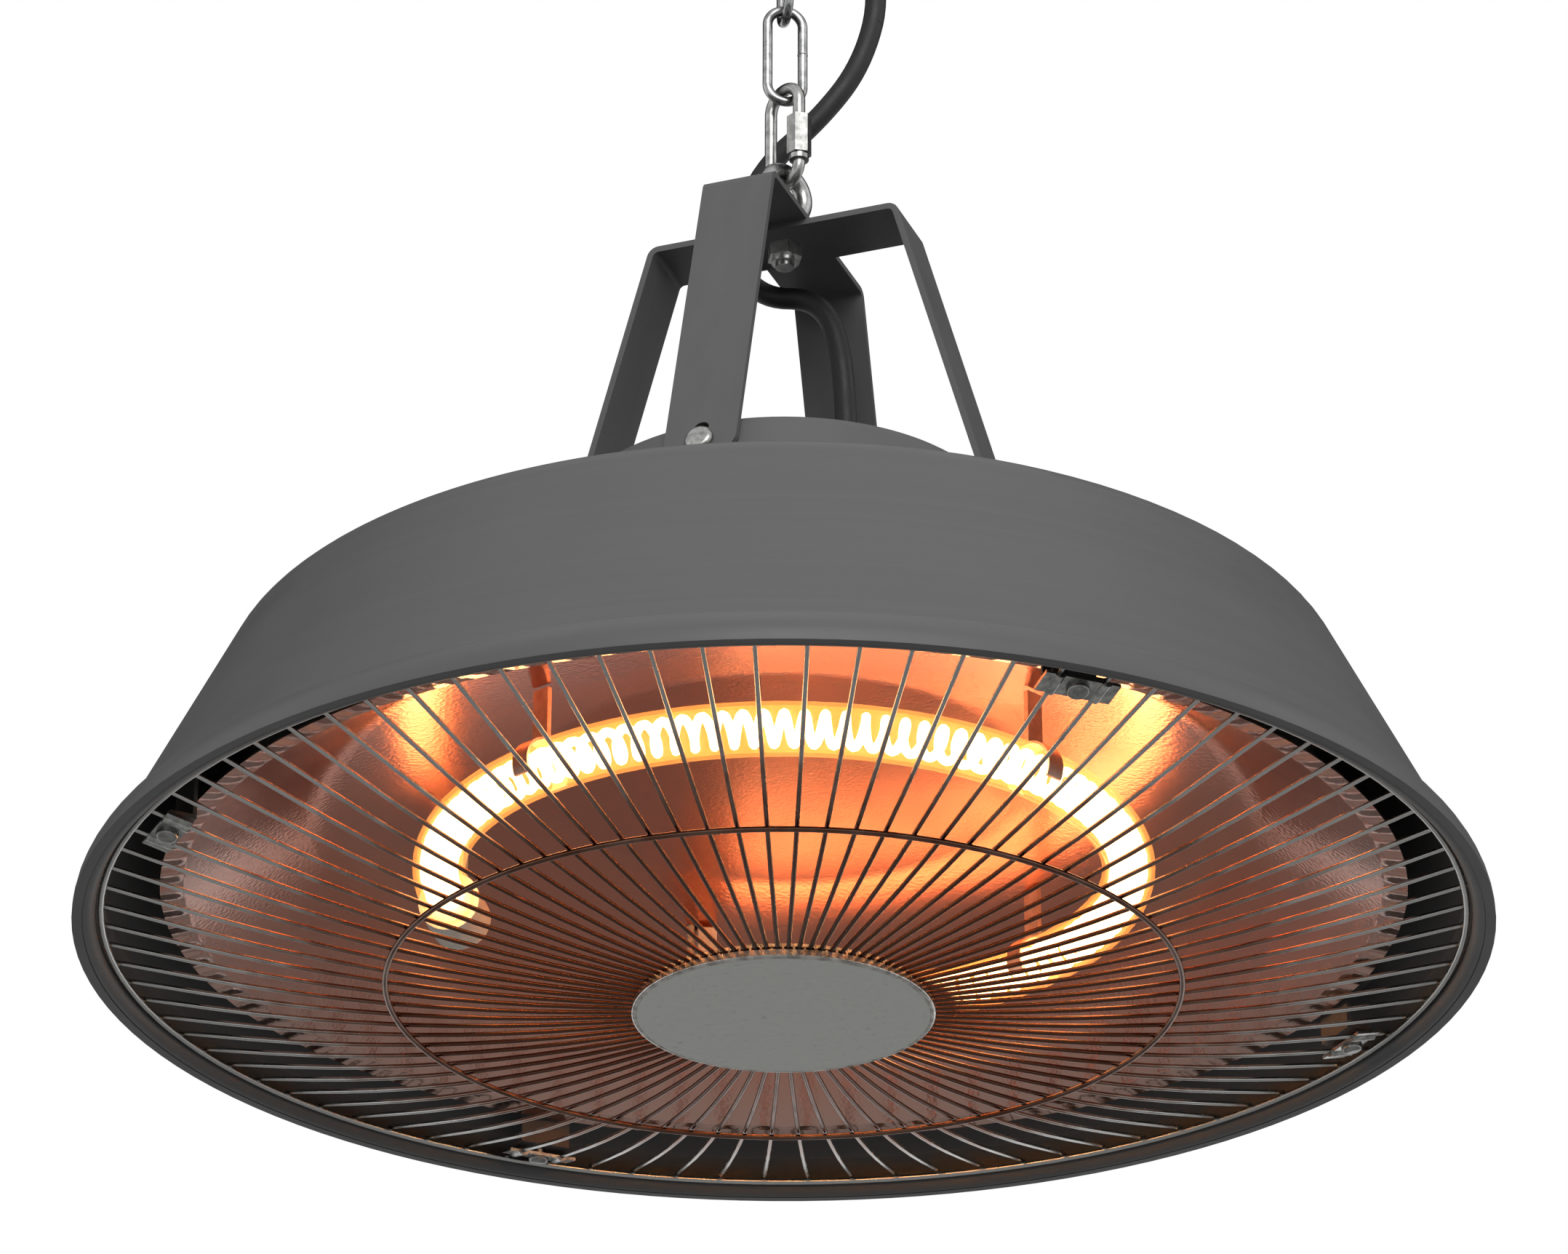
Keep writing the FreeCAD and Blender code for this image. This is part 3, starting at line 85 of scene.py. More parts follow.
surround = bpy.data.worlds.new("surround")
scene.world = surround
surround.use_nodes = True
sky = surround.node_tree
rays = sky.nodes.new("ShaderNodeLightPath")
seen = sky.nodes.new("ShaderNodeMath")
seen.operation = "MAXIMUM"
sky.links.new(rays.outputs["Is Camera Ray"], seen.inputs[0])
sky.links.new(rays.outputs["Is Glossy Ray"], seen.inputs[1])
through = sky.nodes.new("ShaderNodeMath")
through.operation = "MAXIMUM"
sky.links.new(seen.outputs[0], through.inputs[0])
sky.links.new(rays.outputs["Is Transmission Ray"], through.inputs[1])
level = sky.nodes.new("ShaderNodeMapRange")
sky.links.new(through.outputs[0], level.inputs["Value"])
fill_level = 0.29
seen_level = 1.0
level.inputs["To Min"].default_value = fill_level
level.inputs["To Max"].default_value = seen_level
sky.nodes["Background"].inputs["Color"].default_value = (1, 1, 1, 1)
sky.links.new(level.outputs[0], sky.nodes["Background"].inputs["Strength"])

bpy.ops.mesh.primitive_plane_add(size=14, location=(0, 0, -2.5))
floor = bpy.context.object
floor.name = "floor"
pale = bpy.data.materials.new("pale_floor")
pale.use_nodes = True
pale_tree = pale.node_tree
pale_shader = pale_tree.nodes["Principled BSDF"]
pale_shader.inputs["Base Color"].default_value = (0.62, 0.62, 0.61, 1)
pale_shader.inputs["Roughness"].default_value = 0.9
face_side = pale_tree.nodes.new("ShaderNodeNewGeometry")
clear_back = pale_tree.nodes.new("ShaderNodeBsdfTransparent")
two_sides = pale_tree.nodes.new("ShaderNodeMixShader")
pale_tree.links.new(face_side.outputs["Backfacing"], two_sides.inputs[0])
pale_tree.links.new(pale_shader.outputs[0], two_sides.inputs[1])
pale_tree.links.new(clear_back.outputs[0], two_sides.inputs[2])
pale_tree.links.new(two_sides.outputs[0], pale_tree.nodes["Material Output"].inputs["Surface"])
floor.data.materials.append(pale)

black_felt = bpy.data.materials.new("black_felt")
black_felt.use_nodes = True
felt_shader = black_felt.node_tree.nodes["Principled BSDF"]
felt_shader.inputs["Base Color"].default_value = (0.02, 0.02, 0.02, 1)
felt_shader.inputs["Specular IOR Level"].default_value = 0.0
flag_size = 2.2
flag_away = 2.4
flag_level = 0.77
flag_rise = 0.64
for name, heading in (("flag_left", 146), ("flag_right", 75)):
    turn = math.radians(heading)
    aim = Vector((flag_level * math.cos(turn), flag_level * math.sin(turn), flag_rise))
    bpy.ops.mesh.primitive_plane_add(size=flag_size, location=Vector(middle) + aim * flag_away,
                                     rotation=aim.to_track_quat("-Z", "Y").to_euler())
    flag = bpy.context.object
    flag.name = name
    flag.data.materials.append(black_felt)
    flag.visible_camera = False
    flag.visible_diffuse = False
    flag.visible_transmission = False
    flag.visible_shadow = False
bpy.ops.object.select_all(action="DESELECT")


# The shade is spun from steel sheet, with a rolled lip, and sprayed in satin anthracite
# paint inside and out. The paint has a fine orange peel and faint lines from the spinning, and
# a round bead runs along the inside of the lip.
def tone(red, green, blue):
    """A colour as it looks, from 0 to 255, in the linear numbers that a shader takes."""
    shares = []
    for part in (red / 255, green / 255, blue / 255):
        shares.append(part / 12.92 if part <= 0.04045 else ((part + 0.055) / 1.055) ** 2.4)
    return (*shares, 1)


def finish_called(name, metallic, roughness):
    """A new surface finish and its main shader."""
    finish = bpy.data.materials.new(name)
    finish.use_nodes = True
    shader = finish.node_tree.nodes["Principled BSDF"]
    shader.inputs["Metallic"].default_value = metallic
    shader.inputs["Roughness"].default_value = roughness
    return finish, shader


def add(finish, kind, inputs=None, **settings):
    """Adds a node to a finish, sets it up, and links or fills in its inputs."""
    made = finish.node_tree.nodes.new("ShaderNode" + kind)
    for name, value in settings.items():
        setattr(made, name, value)
    for socket, value in (inputs or {}).items():
        if isinstance(value, bpy.types.NodeSocket):
            finish.node_tree.links.new(value, made.inputs[socket])
        else:
            made.inputs[socket].default_value = value
    return made


def join(finish, output, shader, socket):
    """Lets an output drive one of the shader's sockets."""
    finish.node_tree.links.new(output, shader.inputs[socket])


def places(finish, stretch=(1, 1, 1)):
    """Where a point is on the piece, with each direction stretched for a grain that runs."""
    spot = add(finish, "TexCoord")
    return add(finish, "Mapping", {"Vector": spot.outputs["Object"], "Scale": stretch}).outputs[0]


def mottle(finish, spots, scale, detail=4.0):
    """Soft random patches of a size, 0 to 1."""
    return add(finish, "TexNoise", {"Vector": spots, "Scale": scale, "Detail": detail}).outputs[0]


def shades(finish, share, stops):
    """Colours along a share from 0 to 1."""
    ramp = add(finish, "ValToRGB", {0: share})
    stripes = ramp.color_ramp.elements
    while len(stripes) < len(stops):
        stripes.new(0.5)
    for stripe, (place, colour) in zip(stripes, stops):
        stripe.position = place
        stripe.color = colour
    return ramp.outputs[0]


def between(finish, share, low, high, start=0.3, end=0.7):
    """A number that follows a share from its low to its high value."""
    return add(finish, "MapRange", {"Value": share, "From Min": start, "From Max": end,
                                    "To Min": low, "To Max": high}).outputs[0]


def figure(finish, operation, *values):
    """The result of a sum on numbers, each an output or a plain value."""
    return add(finish, "Math", dict(enumerate(values)), operation=operation).outputs[0]


def relief(finish, height, deep, normal=None):
    """Raises and lowers the surface by a pattern, a number of metres deep."""
    inputs = {"Height": height, "Distance": deep, "Strength": 1.0}
    if normal is not None:
        inputs["Normal"] = normal
    return add(finish, "Bump", inputs).outputs[0]


def dress(finish, *names):
    """Gives the finish to solids that keep their own shape."""
    for name in names:
        solids[name].data.materials.clear()
        solids[name].data.materials.append(finish)


def painted(name, dark, light, streak):
    """Satin paint: orange peel, faint lines along one direction and a little uneven gloss."""
    finish, shader = finish_called(name, 0.0, 0.42)
    lines = mottle(finish, places(finish, streak), 1.0, 3.0)
    join(finish, shades(finish, lines, [(0.3, tone(*dark)), (0.7, tone(*light))]),
         shader, "Base Color")
    peel = mottle(finish, places(finish), 1500.0, 2.0)
    join(finish, between(finish, mottle(finish, places(finish), 26.0), 0.42, 0.52),
         shader, "Roughness")
    join(finish, relief(finish, peel, 0.00004), shader, "Normal")
    shader.inputs["Specular IOR Level"].default_value = 0.3
    return finish


def round_ring(name, spot, reach, radius, around, across, finish):
    """A smooth ring of round wire at a spot, with steps around it and across its wire."""
    bpy.ops.mesh.primitive_torus_add(major_radius=reach, minor_radius=radius, location=spot,
                                     major_segments=around, minor_segments=across)
    ring = bpy.context.object
    ring.name = name
    bpy.ops.object.transform_apply(location=True, rotation=True, scale=True)
    bpy.ops.object.shade_smooth()
    ring.data.materials.append(finish)
    bpy.ops.object.select_all(action="DESELECT")
    return ring


shade_paint = painted("shade_paint", (90, 90, 91), (93, 93, 94), (3, 3, 420))
dress(shade_paint, "shade")
bead_reach = 0.2086
bead_radius = 0.0031
bead_level = -0.4800
rim_roll = round_ring("rim_roll", (0, 0, bead_level), bead_reach, bead_radius, 240, 16, shade_paint)
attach(rim_roll, "head")

# The drum over the shade is a small drawn cap in the same paint. It covers the wiring and is
# held down by four small zinc-plated screws in its flange.
drum_paint = painted("drum_paint", (90, 90, 91), (94, 94, 95), (40, 40, 40))
dress(drum_paint, "cap_drum")


def plated(name, dark, light, rough, patch):
    """Zinc plating on steel: cloudy grey patches, fine scuffs and soft gloss."""
    finish, shader = finish_called(name, 1.0, rough)
    clouds = mottle(finish, places(finish), patch, 6.0)
    join(finish, shades(finish, clouds, [(0.32, tone(*dark)), (0.62, tone(*light))]),
         shader, "Base Color")
    scuffs = mottle(finish, places(finish, (1, 1, 0.3)), patch * 5, 3.0)
    join(finish, between(finish, scuffs, rough - 0.04, rough + 0.06), shader, "Roughness")
    join(finish, relief(finish, scuffs, 0.000006), shader, "Normal")
    return finish


screw_zinc = plated("screw_zinc", (122, 122, 121), (160, 160, 158), 0.3, 500.0)
dress(screw_zinc, "cap_screws")

# Two bent steel straps cross over the drum and carry the heater. They have the shade's paint,
# and slotted feet that screws pinch against the drum's side.
strap_paint = painted("strap_paint", (90, 90, 91), (94, 94, 95), (150, 150, 6))
dress(strap_paint, "bracket_a", "bracket_b")
dress(screw_zinc, "bracket_screws")

# The eye bolt goes down through both straps. A washer and a lock nut with a nylon collar
# hold it from below. All three are zinc plated; the washer and nut get a lighter zinc, painted light
# for the shade under the straps.
eye_zinc = plated("eye_zinc", (124, 125, 125), (168, 168, 167), 0.26, 240.0)
dress(eye_zinc, "eye_bolt")
# A lighter copy of the bolt's zinc: painted light for the shaded washer and nut.
nut_zinc_painted_lift = plated("nut_zinc_painted_lift", (196, 196, 194), (222, 222, 220), 0.3, 240.0)
dress(nut_zinc_painted_lift, "eye_washer", "lock_nut")

# A quick link joins the eye to the chain. It is bent from plated rod, with a six-sided
# sleeve that screws over the gap in its side.
link_zinc = plated("link_zinc", (124, 125, 125), (164, 164, 162), 0.27, 300.0)
dress(link_zinc, "quick_link")
sleeve_zinc = plated("sleeve_zinc", (112, 112, 111), (152, 152, 150), 0.32, 420.0)
dress(sleeve_zinc, "link_sleeve")

# The chain has long links of bright plated wire, each bent round and butt welded on one leg.
# A thin raised seam shows where the ends of the wire meet.
chain_zinc = plated("chain_zinc", (116, 117, 118), (160, 160, 160), 0.23, 340.0)
chain_names = ["chain_link_%d" % number for number in range(1, 7)]
dress(chain_zinc, *chain_names)
chain_bodies = ["link_one", "link_two", "hanger", "hanger", "hanger", "hanger"]
leg_out = 0.0058
seam_reach = 0.00152
seam_radius = 0.00026
seam_up = 0.001
for number, (name, body) in enumerate(zip(chain_names, chain_bodies)):
    low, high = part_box(name)
    far = max((point.co for point in solids[name].data.vertices),
              key=lambda spot: spot.x * spot.x + spot.y * spot.y)
    side = math.atan2(far.y, far.x) if far.x > 0 else math.atan2(-far.y, -far.x)
    spot = (leg_out * math.cos(side), leg_out * math.sin(side), (low.z + high.z) / 2 + seam_up)
    seam = round_ring("link_seam_%d" % (number + 1), spot, seam_reach, seam_radius, 20, 8, chain_zinc)
    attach(seam, body)

# The reflector is a shallow dish of polished aluminium sheet with a fine embossed grain and a crimped
# edge, hung from the shade on four posts. Its base colour is painted copper near the middle, a
# painted glow of the lamp.
def from_axis(finish, spots):
    """How far points are from the heater's axis, and how far along X and Y."""
    along = add(finish, "SeparateXYZ", {"Vector": spots}).outputs
    level_with = add(finish, "CombineXYZ", {"X": along[0], "Y": along[1]})
    out = add(finish, "VectorMath", {0: level_with.outputs[0]}, operation="LENGTH")
    return out.outputs["Value"], along[0], along[1]


sheet, sheet_shader = finish_called("reflector_sheet", 1.0, 0.2)
spots = places(sheet)
out, sheet_x, sheet_y = from_axis(sheet, spots)
# Painted glow: this share turns the sheet's colour copper towards the middle, where the lamp shines
# on it.
painted_glow_share = between(sheet, out, 0.0, 1.0, start=0.10, end=0.19)
join(sheet, shades(sheet, painted_glow_share, [(0.0, tone(206, 134, 112)), (0.5, tone(214, 142, 118)),
                                 (0.9, tone(202, 166, 154))]), sheet_shader, "Base Color")
cloudy = between(sheet, mottle(sheet, places(sheet), 18.0), -0.04, 0.06)
dull = between(sheet, out, 0.34, 0.17, start=0.07, end=0.14)
join(sheet, figure(sheet, "ADD", dull, cloudy), sheet_shader, "Roughness")
crimps = 92.0
heading = figure(sheet, "ARCTAN2", sheet_y, sheet_x)
wave = figure(sheet, "SINE", figure(sheet, "MULTIPLY", heading, crimps))
edge = between(sheet, out, 0.0, 1.0, start=0.1795, end=0.1825)
dimples = figure(sheet, "MULTIPLY", wave, edge)
emboss = add(sheet, "TexVoronoi", {"Vector": spots, "Scale": 750.0}).outputs["Distance"]
grain = relief(sheet, emboss, 0.00005)
join(sheet, relief(sheet, dimples, 0.0006, grain), sheet_shader, "Normal")
dress(sheet, "reflector")
post_steel = plated("post_steel", (226, 196, 176), (244, 220, 204), 0.46, 300.0)
dress(post_steel, "reflector_posts")

# The lamp is a quartz tube bent to most of a ring, filled with a curled heating wire. Both
# glow, the wire almost white. Ceramic caps close its ends and sprung steel clips hold it.
quartz, quartz_shader = finish_called("quartz", 0.0, 0.05)
quartz_shader.inputs["Alpha"].default_value = 0.26
quartz_shader.inputs["Emission Color"].default_value = (1.0, 0.46, 0.08, 1)
quartz_shader.inputs["Emission Strength"].default_value = 0.9
join(quartz, shades(quartz, mottle(quartz, places(quartz), 60.0),
                    [(0.3, tone(196, 120, 70)), (0.7, tone(216, 138, 84))]),
     quartz_shader, "Base Color")
quartz.surface_render_method = "BLENDED"
dress(quartz, "lamp_tube")

hot, hot_shader = finish_called("hot_wire", 0.0, 0.6)
hot_shader.inputs["Emission Strength"].default_value = 10.0
heat = mottle(hot, places(hot), 40.0, 2.0)
join(hot, shades(hot, heat, [(0.3, (1.0, 0.62, 0.28, 1)), (0.7, (1.0, 0.72, 0.36, 1))]),
     hot_shader, "Emission Color")
hot_shader.inputs["Base Color"].default_value = tone(255, 214, 150)

def control_line(name, points, fine):
    """A smooth open spline with the points as its control points."""
    curve = bpy.data.curves.new(name, "CURVE")
    curve.dimensions = "3D"
    spline = curve.splines.new("NURBS")
    spline.points.add(len(points) - 1)
    for control, spot in zip(spline.points, points):
        control.co = (*spot, 1)
    spline.order_u = 3
    spline.use_endpoint_u = True
    spline.resolution_u = fine
    holder = bpy.data.objects.new(name, curve)
    scene.collection.objects.link(holder)
    return holder


lamp_ring = 0.104
lamp_radius = 0.008
lamp_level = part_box("lamp_tube")[0].z + lamp_radius
curls = 90
curl_reach = 0.0047
curl_steps = 10
lamp_start = math.radians(190)
lamp_sweep = math.radians(290)
hot_radius = 0.0014
end_run = hot_radius / lamp_ring
winding = []
for index in range(curls * curl_steps + 1):
    share = index / (curls * curl_steps)
    around = lamp_start + end_run + (lamp_sweep - 2 * end_run) * share
    phase = 2 * math.pi * index / curl_steps
    reach = lamp_ring + curl_reach * math.cos(phase)
    winding.append((reach * math.cos(around), reach * math.sin(around),
                    lamp_level + curl_reach * math.sin(phase)))
heating_wire = control_line("heating_wire", winding, 2)
heating_wire.data.bevel_depth = hot_radius
heating_wire.data.bevel_resolution = 2
heating_wire.data.use_fill_caps = True
heating_wire.data.materials.append(hot)
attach(heating_wire, "head")
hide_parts("filament")

ceramic, ceramic_shader = finish_called("white_ceramic", 0.0, 0.55)
join(ceramic, shades(ceramic, mottle(ceramic, places(ceramic), 160.0, 6.0),
                     [(0.3, tone(226, 220, 208)), (0.7, tone(240, 236, 228))]),
     ceramic_shader, "Base Color")
join(ceramic, relief(ceramic, mottle(ceramic, places(ceramic), 900.0), 0.00008),
     ceramic_shader, "Normal")
dress(ceramic, "lamp_caps")
spring = plated("spring_steel", (226, 196, 176), (244, 220, 204), 0.46, 300.0)
dress(spring, "lamp_clips")

# The lamp's own wires run in woven heat-proof sleeve from its caps up through the reflector to
# a ceramic terminal block under the drum.
sleeve, sleeve_shader = finish_called("wire_sleeve", 0.0, 0.8)
threads = add(sleeve, "TexWave", {"Vector": places(sleeve), "Scale": 420.0, "Distortion": 2.0},
              bands_direction="DIAGONAL").outputs[0]
join(sleeve, shades(sleeve, threads, [(0.2, tone(196, 188, 170)), (0.8, tone(232, 226, 212))]),
     sleeve_shader, "Base Color")
join(sleeve, relief(sleeve, threads, 0.0001), sleeve_shader, "Normal")
dress(sleeve, "lamp_leads")
dress(ceramic, "terminal_block")

# The guard is a fan of thin plated wires welded to two rings. Over the lamp the wires are painted
# brown, partly heat tint and partly painted shade of wires seen dark against the glow. A hub of sheet
# steel clamps their inner ends, in a toothed crimp ring.
wire, wire_shader = finish_called("guard_wire", 1.0, 0.24)
wire_spots = places(wire)
wire_out = from_axis(wire, wire_spots)[0]
cloud = mottle(wire, wire_spots, 90.0, 5.0)
shifted = figure(wire, "ADD", wire_out, between(wire, cloud, -0.012, 0.012))
# Brown towards the middle, silver at the rim: part heat tint, part painted shade of the backlit
# wires.
heat_tint_and_shade_share = between(wire, shifted, 0.0, 1.0, start=0.11, end=0.175)
join(wire, shades(wire, heat_tint_and_shade_share, [(0.0, tone(98, 66, 52)), (0.5, tone(140, 114, 102)),
                               (0.95, tone(190, 190, 188))]), wire_shader, "Base Color")
join(wire, between(wire, cloud, 0.18, 0.34), wire_shader, "Roughness")
join(wire, relief(wire, mottle(wire, wire_spots, 1400.0), 0.00003), wire_shader, "Normal")
dress(wire, "guard_wires", "guard_rim_ring", "guard_mid_ring")

hub_paint, hub_shader = finish_called("hub_paint", 0.0, 0.45)
specks = mottle(hub_paint, places(hub_paint), 420.0, 8.0)
join(hub_paint, shades(hub_paint, specks, [(0.26, tone(180, 182, 177)), (0.36, tone(206, 208, 203)),
                                           (0.7, tone(211, 213, 208))]), hub_shader, "Base Color")
join(hub_paint, relief(hub_paint, mottle(hub_paint, places(hub_paint), 1600.0), 0.00004),
     hub_shader, "Normal")
dress(hub_paint, "hub_disc")
crimp = plated("crimp_steel", (150, 145, 138), (218, 215, 210), 0.22, 260.0)
dress(crimp, "hub_ring", "hub_plate")

ring_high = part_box("hub_ring")[1]
wire_count = 88
tooth_deep = 0.0011
tooth_wide = 0.0012
tooth_tall = 0.0016
tooth_inset = 0.0009
tooth_lift = 0.3
teeth = []
for index in range(wire_count):
    around = 2 * math.pi * index / wire_count
    bpy.ops.mesh.primitive_cube_add(size=1)
    tooth = bpy.context.object
    bpy.ops.object.mode_set(mode="EDIT")
    bpy.ops.mesh.select_all(action="SELECT")
    bpy.ops.transform.resize(value=(tooth_deep, tooth_wide, tooth_tall))
    bpy.ops.mesh.bevel(offset=0.0003, segments=1, affect="EDGES")
    bpy.ops.object.mode_set(mode="OBJECT")
    uneven = 0.0003 * math.sin(index * 2.4) + 0.0002 * math.sin(index * 5.1)
    tooth.data.transform(Matrix.Rotation(around, 4, "Z") @ Matrix.Translation(
        (ring_high.x - tooth_inset, 0, ring_high.z + tooth_tall * tooth_lift + uneven)))
    teeth.append(tooth)
    bpy.ops.object.select_all(action="DESELECT")
for tooth in teeth:
    tooth.select_set(True)
bpy.context.view_layer.objects.active = teeth[0]
bpy.ops.object.join()
hub_teeth = teeth[0]
hub_teeth.name = "hub_teeth"
hub_teeth.data.materials.append(crimp)
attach(hub_teeth, "head")
bpy.ops.object.select_all(action="DESELECT")

# Four folded tabs on the shade's wall hold the guard. A small saddle clip under each, screwed
# up into it, traps two of the wires.
clip_zinc = plated("clip_zinc", (140, 140, 138), (196, 196, 192), 0.22, 360.0)
dress(clip_zinc, "guard_clips")
dress(strap_paint, "guard_tabs")
dress(screw_zinc, "guard_screws")

# The lead leaves the drum through a moulded plastic gland with a tapered boot. A nut inside
# the drum holds it.
plastic, plastic_shader = finish_called("black_plastic", 0.0, 0.45)
join(plastic, shades(plastic, mottle(plastic, places(plastic), 300.0),
                     [(0.3, tone(28, 28, 29)), (0.7, tone(36, 36, 37))]),
     plastic_shader, "Base Color")
join(plastic, relief(plastic, mottle(plastic, places(plastic), 1300.0), 0.00008),
     plastic_shader, "Normal")
dress(plastic, "cable_gland", "gland_nut")

# The supply lead is a stiff round rubber cable. It bows out of the gland, passes between the
# straps and climbs beside the chain. The spare length is wound into a coil by the top links.
# Its heights are counted from the shade's lip.
rubber, rubber_shader = finish_called("black_rubber", 0.0, 0.5)
rubber_shader.inputs["Specular IOR Level"].default_value = 0.35
dust = mottle(rubber, places(rubber), 120.0, 6.0)
join(rubber, shades(rubber, dust, [(0.3, tone(22, 22, 23)), (0.7, tone(30, 30, 31))]),
     rubber_shader, "Base Color")
join(rubber, between(rubber, dust, 0.46, 0.6), rubber_shader, "Roughness")
join(rubber, relief(rubber, mottle(rubber, places(rubber), 1500.0, 3.0), 0.0001),
     rubber_shader, "Normal")

lip = -0.4832
lead_radius = 0.0035
gland = Vector((0.0131, 0.0210, 0.175 + lip))
route = [
    gland,
    Vector((0.0131, 0.0210, 0.209 + lip)),
    Vector((0.0055, 0.0195, 0.2335 + lip)),
    Vector((-0.0155, 0.0177, 0.2365 + lip)),
    Vector((-0.0270, 0.0206, 0.258 + lip)),
    Vector((-0.0180, 0.0240, 0.288 + lip)),
    Vector((0.0005, 0.0300, 0.307 + lip)),
    Vector((0.0138, 0.0350, 0.328 + lip)),
    Vector((0.0200, 0.0370, 0.356 + lip)),
    Vector((0.0129, 0.0333, 0.385 + lip)),
]
coil_turn = Matrix.Rotation(math.radians(20.69), 4, "Z")
coil_middle = -0.038
coil_level = 0.438 + lip
coil_reach = 0.05075
coil_pitch = 0.0075
coil_loops = 5.5
coil_back = 0.0245
coil_front = 0.0169
loop_points = 16
# The spline runs inside its control points, so those of the loops are set out by this share.
bow_out = 1 / (0.75 + 0.25 * math.cos(2 * math.pi / loop_points))
start_across = coil_middle + coil_reach
route.append(coil_turn @ Vector((start_across, coil_back, 0.408 + lip)))
route.append(coil_turn @ Vector((start_across, coil_back, 0.428 + lip)))
steps = int(coil_loops * loop_points)
for index in range(steps + 1):
    loop = index / loop_points
    around = 2 * math.pi * loop
    swell = 1.0 if index in (0, steps) else bow_out
    reach = (coil_reach - coil_pitch * min(loop, coil_loops - loop)) * swell
    climb = min(max((loop - coil_loops / 2 + 0.25) * 2, 0), 1)
    depth = coil_back + (coil_front - coil_back) * (1 - math.cos(math.pi * climb)) / 2
    route.append(coil_turn @ Vector((coil_middle + reach * math.cos(around), depth,
                                     coil_level + reach * math.sin(around))))
tail_across = coil_middle - coil_reach
plug_place = coil_turn @ Vector((tail_across, coil_front, 0.4055 + lip))
route.append(coil_turn @ Vector((tail_across, coil_front, 0.420 + lip)))
route.append(plug_place)


def traced(name, points, fine):
    """The points along the smooth line that a lead's control points make."""
    holder = control_line(name, points, fine)
    bpy.context.view_layer.update()
    mesh = bpy.data.meshes.new_from_object(holder)
    line = [point.co.copy() for point in mesh.vertices]
    bpy.data.objects.remove(holder)
    bpy.data.meshes.remove(mesh)
    return line


def tube_on(name, line, radius, sides=18):
    """A round tube on a line, its rings carried along without a twist and its ends closed."""
    spots = []
    faces = []
    across = None
    for index, spot in enumerate(line):
        ahead = line[min(index + 1, len(line) - 1)] - line[max(index - 1, 0)]
        ahead.normalize()
        across = ahead.orthogonal() if across is None else across - ahead * across.dot(ahead)
        across.normalize()
        beside = ahead.cross(across)
        for side in range(sides):
            angle = 2 * math.pi * side / sides
            spots.append(spot + (across * math.cos(angle) + beside * math.sin(angle)) * radius)
    for ring in range(len(line) - 1):
        for side in range(sides):
            onward = (side + 1) % sides
            faces.append((ring * sides + side, ring * sides + onward,
                          (ring + 1) * sides + onward, (ring + 1) * sides + side))
    faces.append(tuple(range(sides - 1, -1, -1)))
    faces.append(tuple(range((len(line) - 1) * sides, len(line) * sides)))
    mesh = bpy.data.meshes.new(name)
    mesh.from_pydata(spots, [], faces)
    tube = bpy.data.objects.new(name, mesh)
    scene.collection.objects.link(tube)
    bpy.context.view_layer.objects.active = tube
    tube.select_set(True)
    bpy.ops.object.shade_smooth_by_angle(angle=math.radians(40))
    bpy.ops.object.select_all(action="DESELECT")
    mesh.materials.append(rubber)
    return tube


lead = traced("lead_route", route, 8)
bends = [("lead_low", "head", "shackle", 0.250, 0.280),
         ("lead_next", "shackle", "link_one", 0.284, 0.311),
         ("lead_high", "link_one", "link_two", 0.315, 0.341),
         ("lead_top", "link_two", "hanger", 0.346, 0.372)]
lead_tubes = {}
lead_lines = {}
start = 0
for index, (name, below, above, bend_start, bend_end) in enumerate(bends):
    end = len(lead) - 1
    if index < len(bends) - 1:
        cut_level = (bend_end + bends[index + 1][3]) / 2 + lip
        end = next(place for place, spot in enumerate(lead) if spot.z > cut_level)
    lead_lines[name] = lead[start:end + 1]
    lead_tubes[name] = tube_on(name, lead_lines[name], lead_radius)
    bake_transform(lead_tubes[name])
    start = end
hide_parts("lead_stretch")
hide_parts("lead_coil")
inner_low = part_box("lead_inner")[0]
inner_line = traced("inner_route", [Vector((gland.x, gland.y, inner_low.z)),
                                    Vector((gland.x, gland.y, (inner_low.z + gland.z) / 2)),
                                    gland], 8)
lead_inside = tube_on("lead_inside", inner_line, lead_radius)
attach(lead_inside, "head")
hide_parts("lead_inner")

# Two hook-and-loop straps hold the coil to a chain link. They are woven black tape with rounded
# corners, closed by a tongue that laps over at the front.
tape, tape_shader = finish_called("black_fabric", 0.0, 0.9)
ribs = add(tape, "TexWave", {"Vector": places(tape), "Scale": 500.0, "Distortion": 1.0},
           bands_direction="Z").outputs[0]
fuzz = mottle(tape, places(tape), 900.0, 5.0)
join(tape, shades(tape, fuzz, [(0.3, tone(26, 26, 28)), (0.7, tone(46, 46, 48))]),
     tape_shader, "Base Color")
join(tape, relief(tape, ribs, 0.00012, relief(tape, fuzz, 0.0001)), tape_shader, "Normal")
tape_shader.inputs["Sheen Weight"].default_value = 0.3

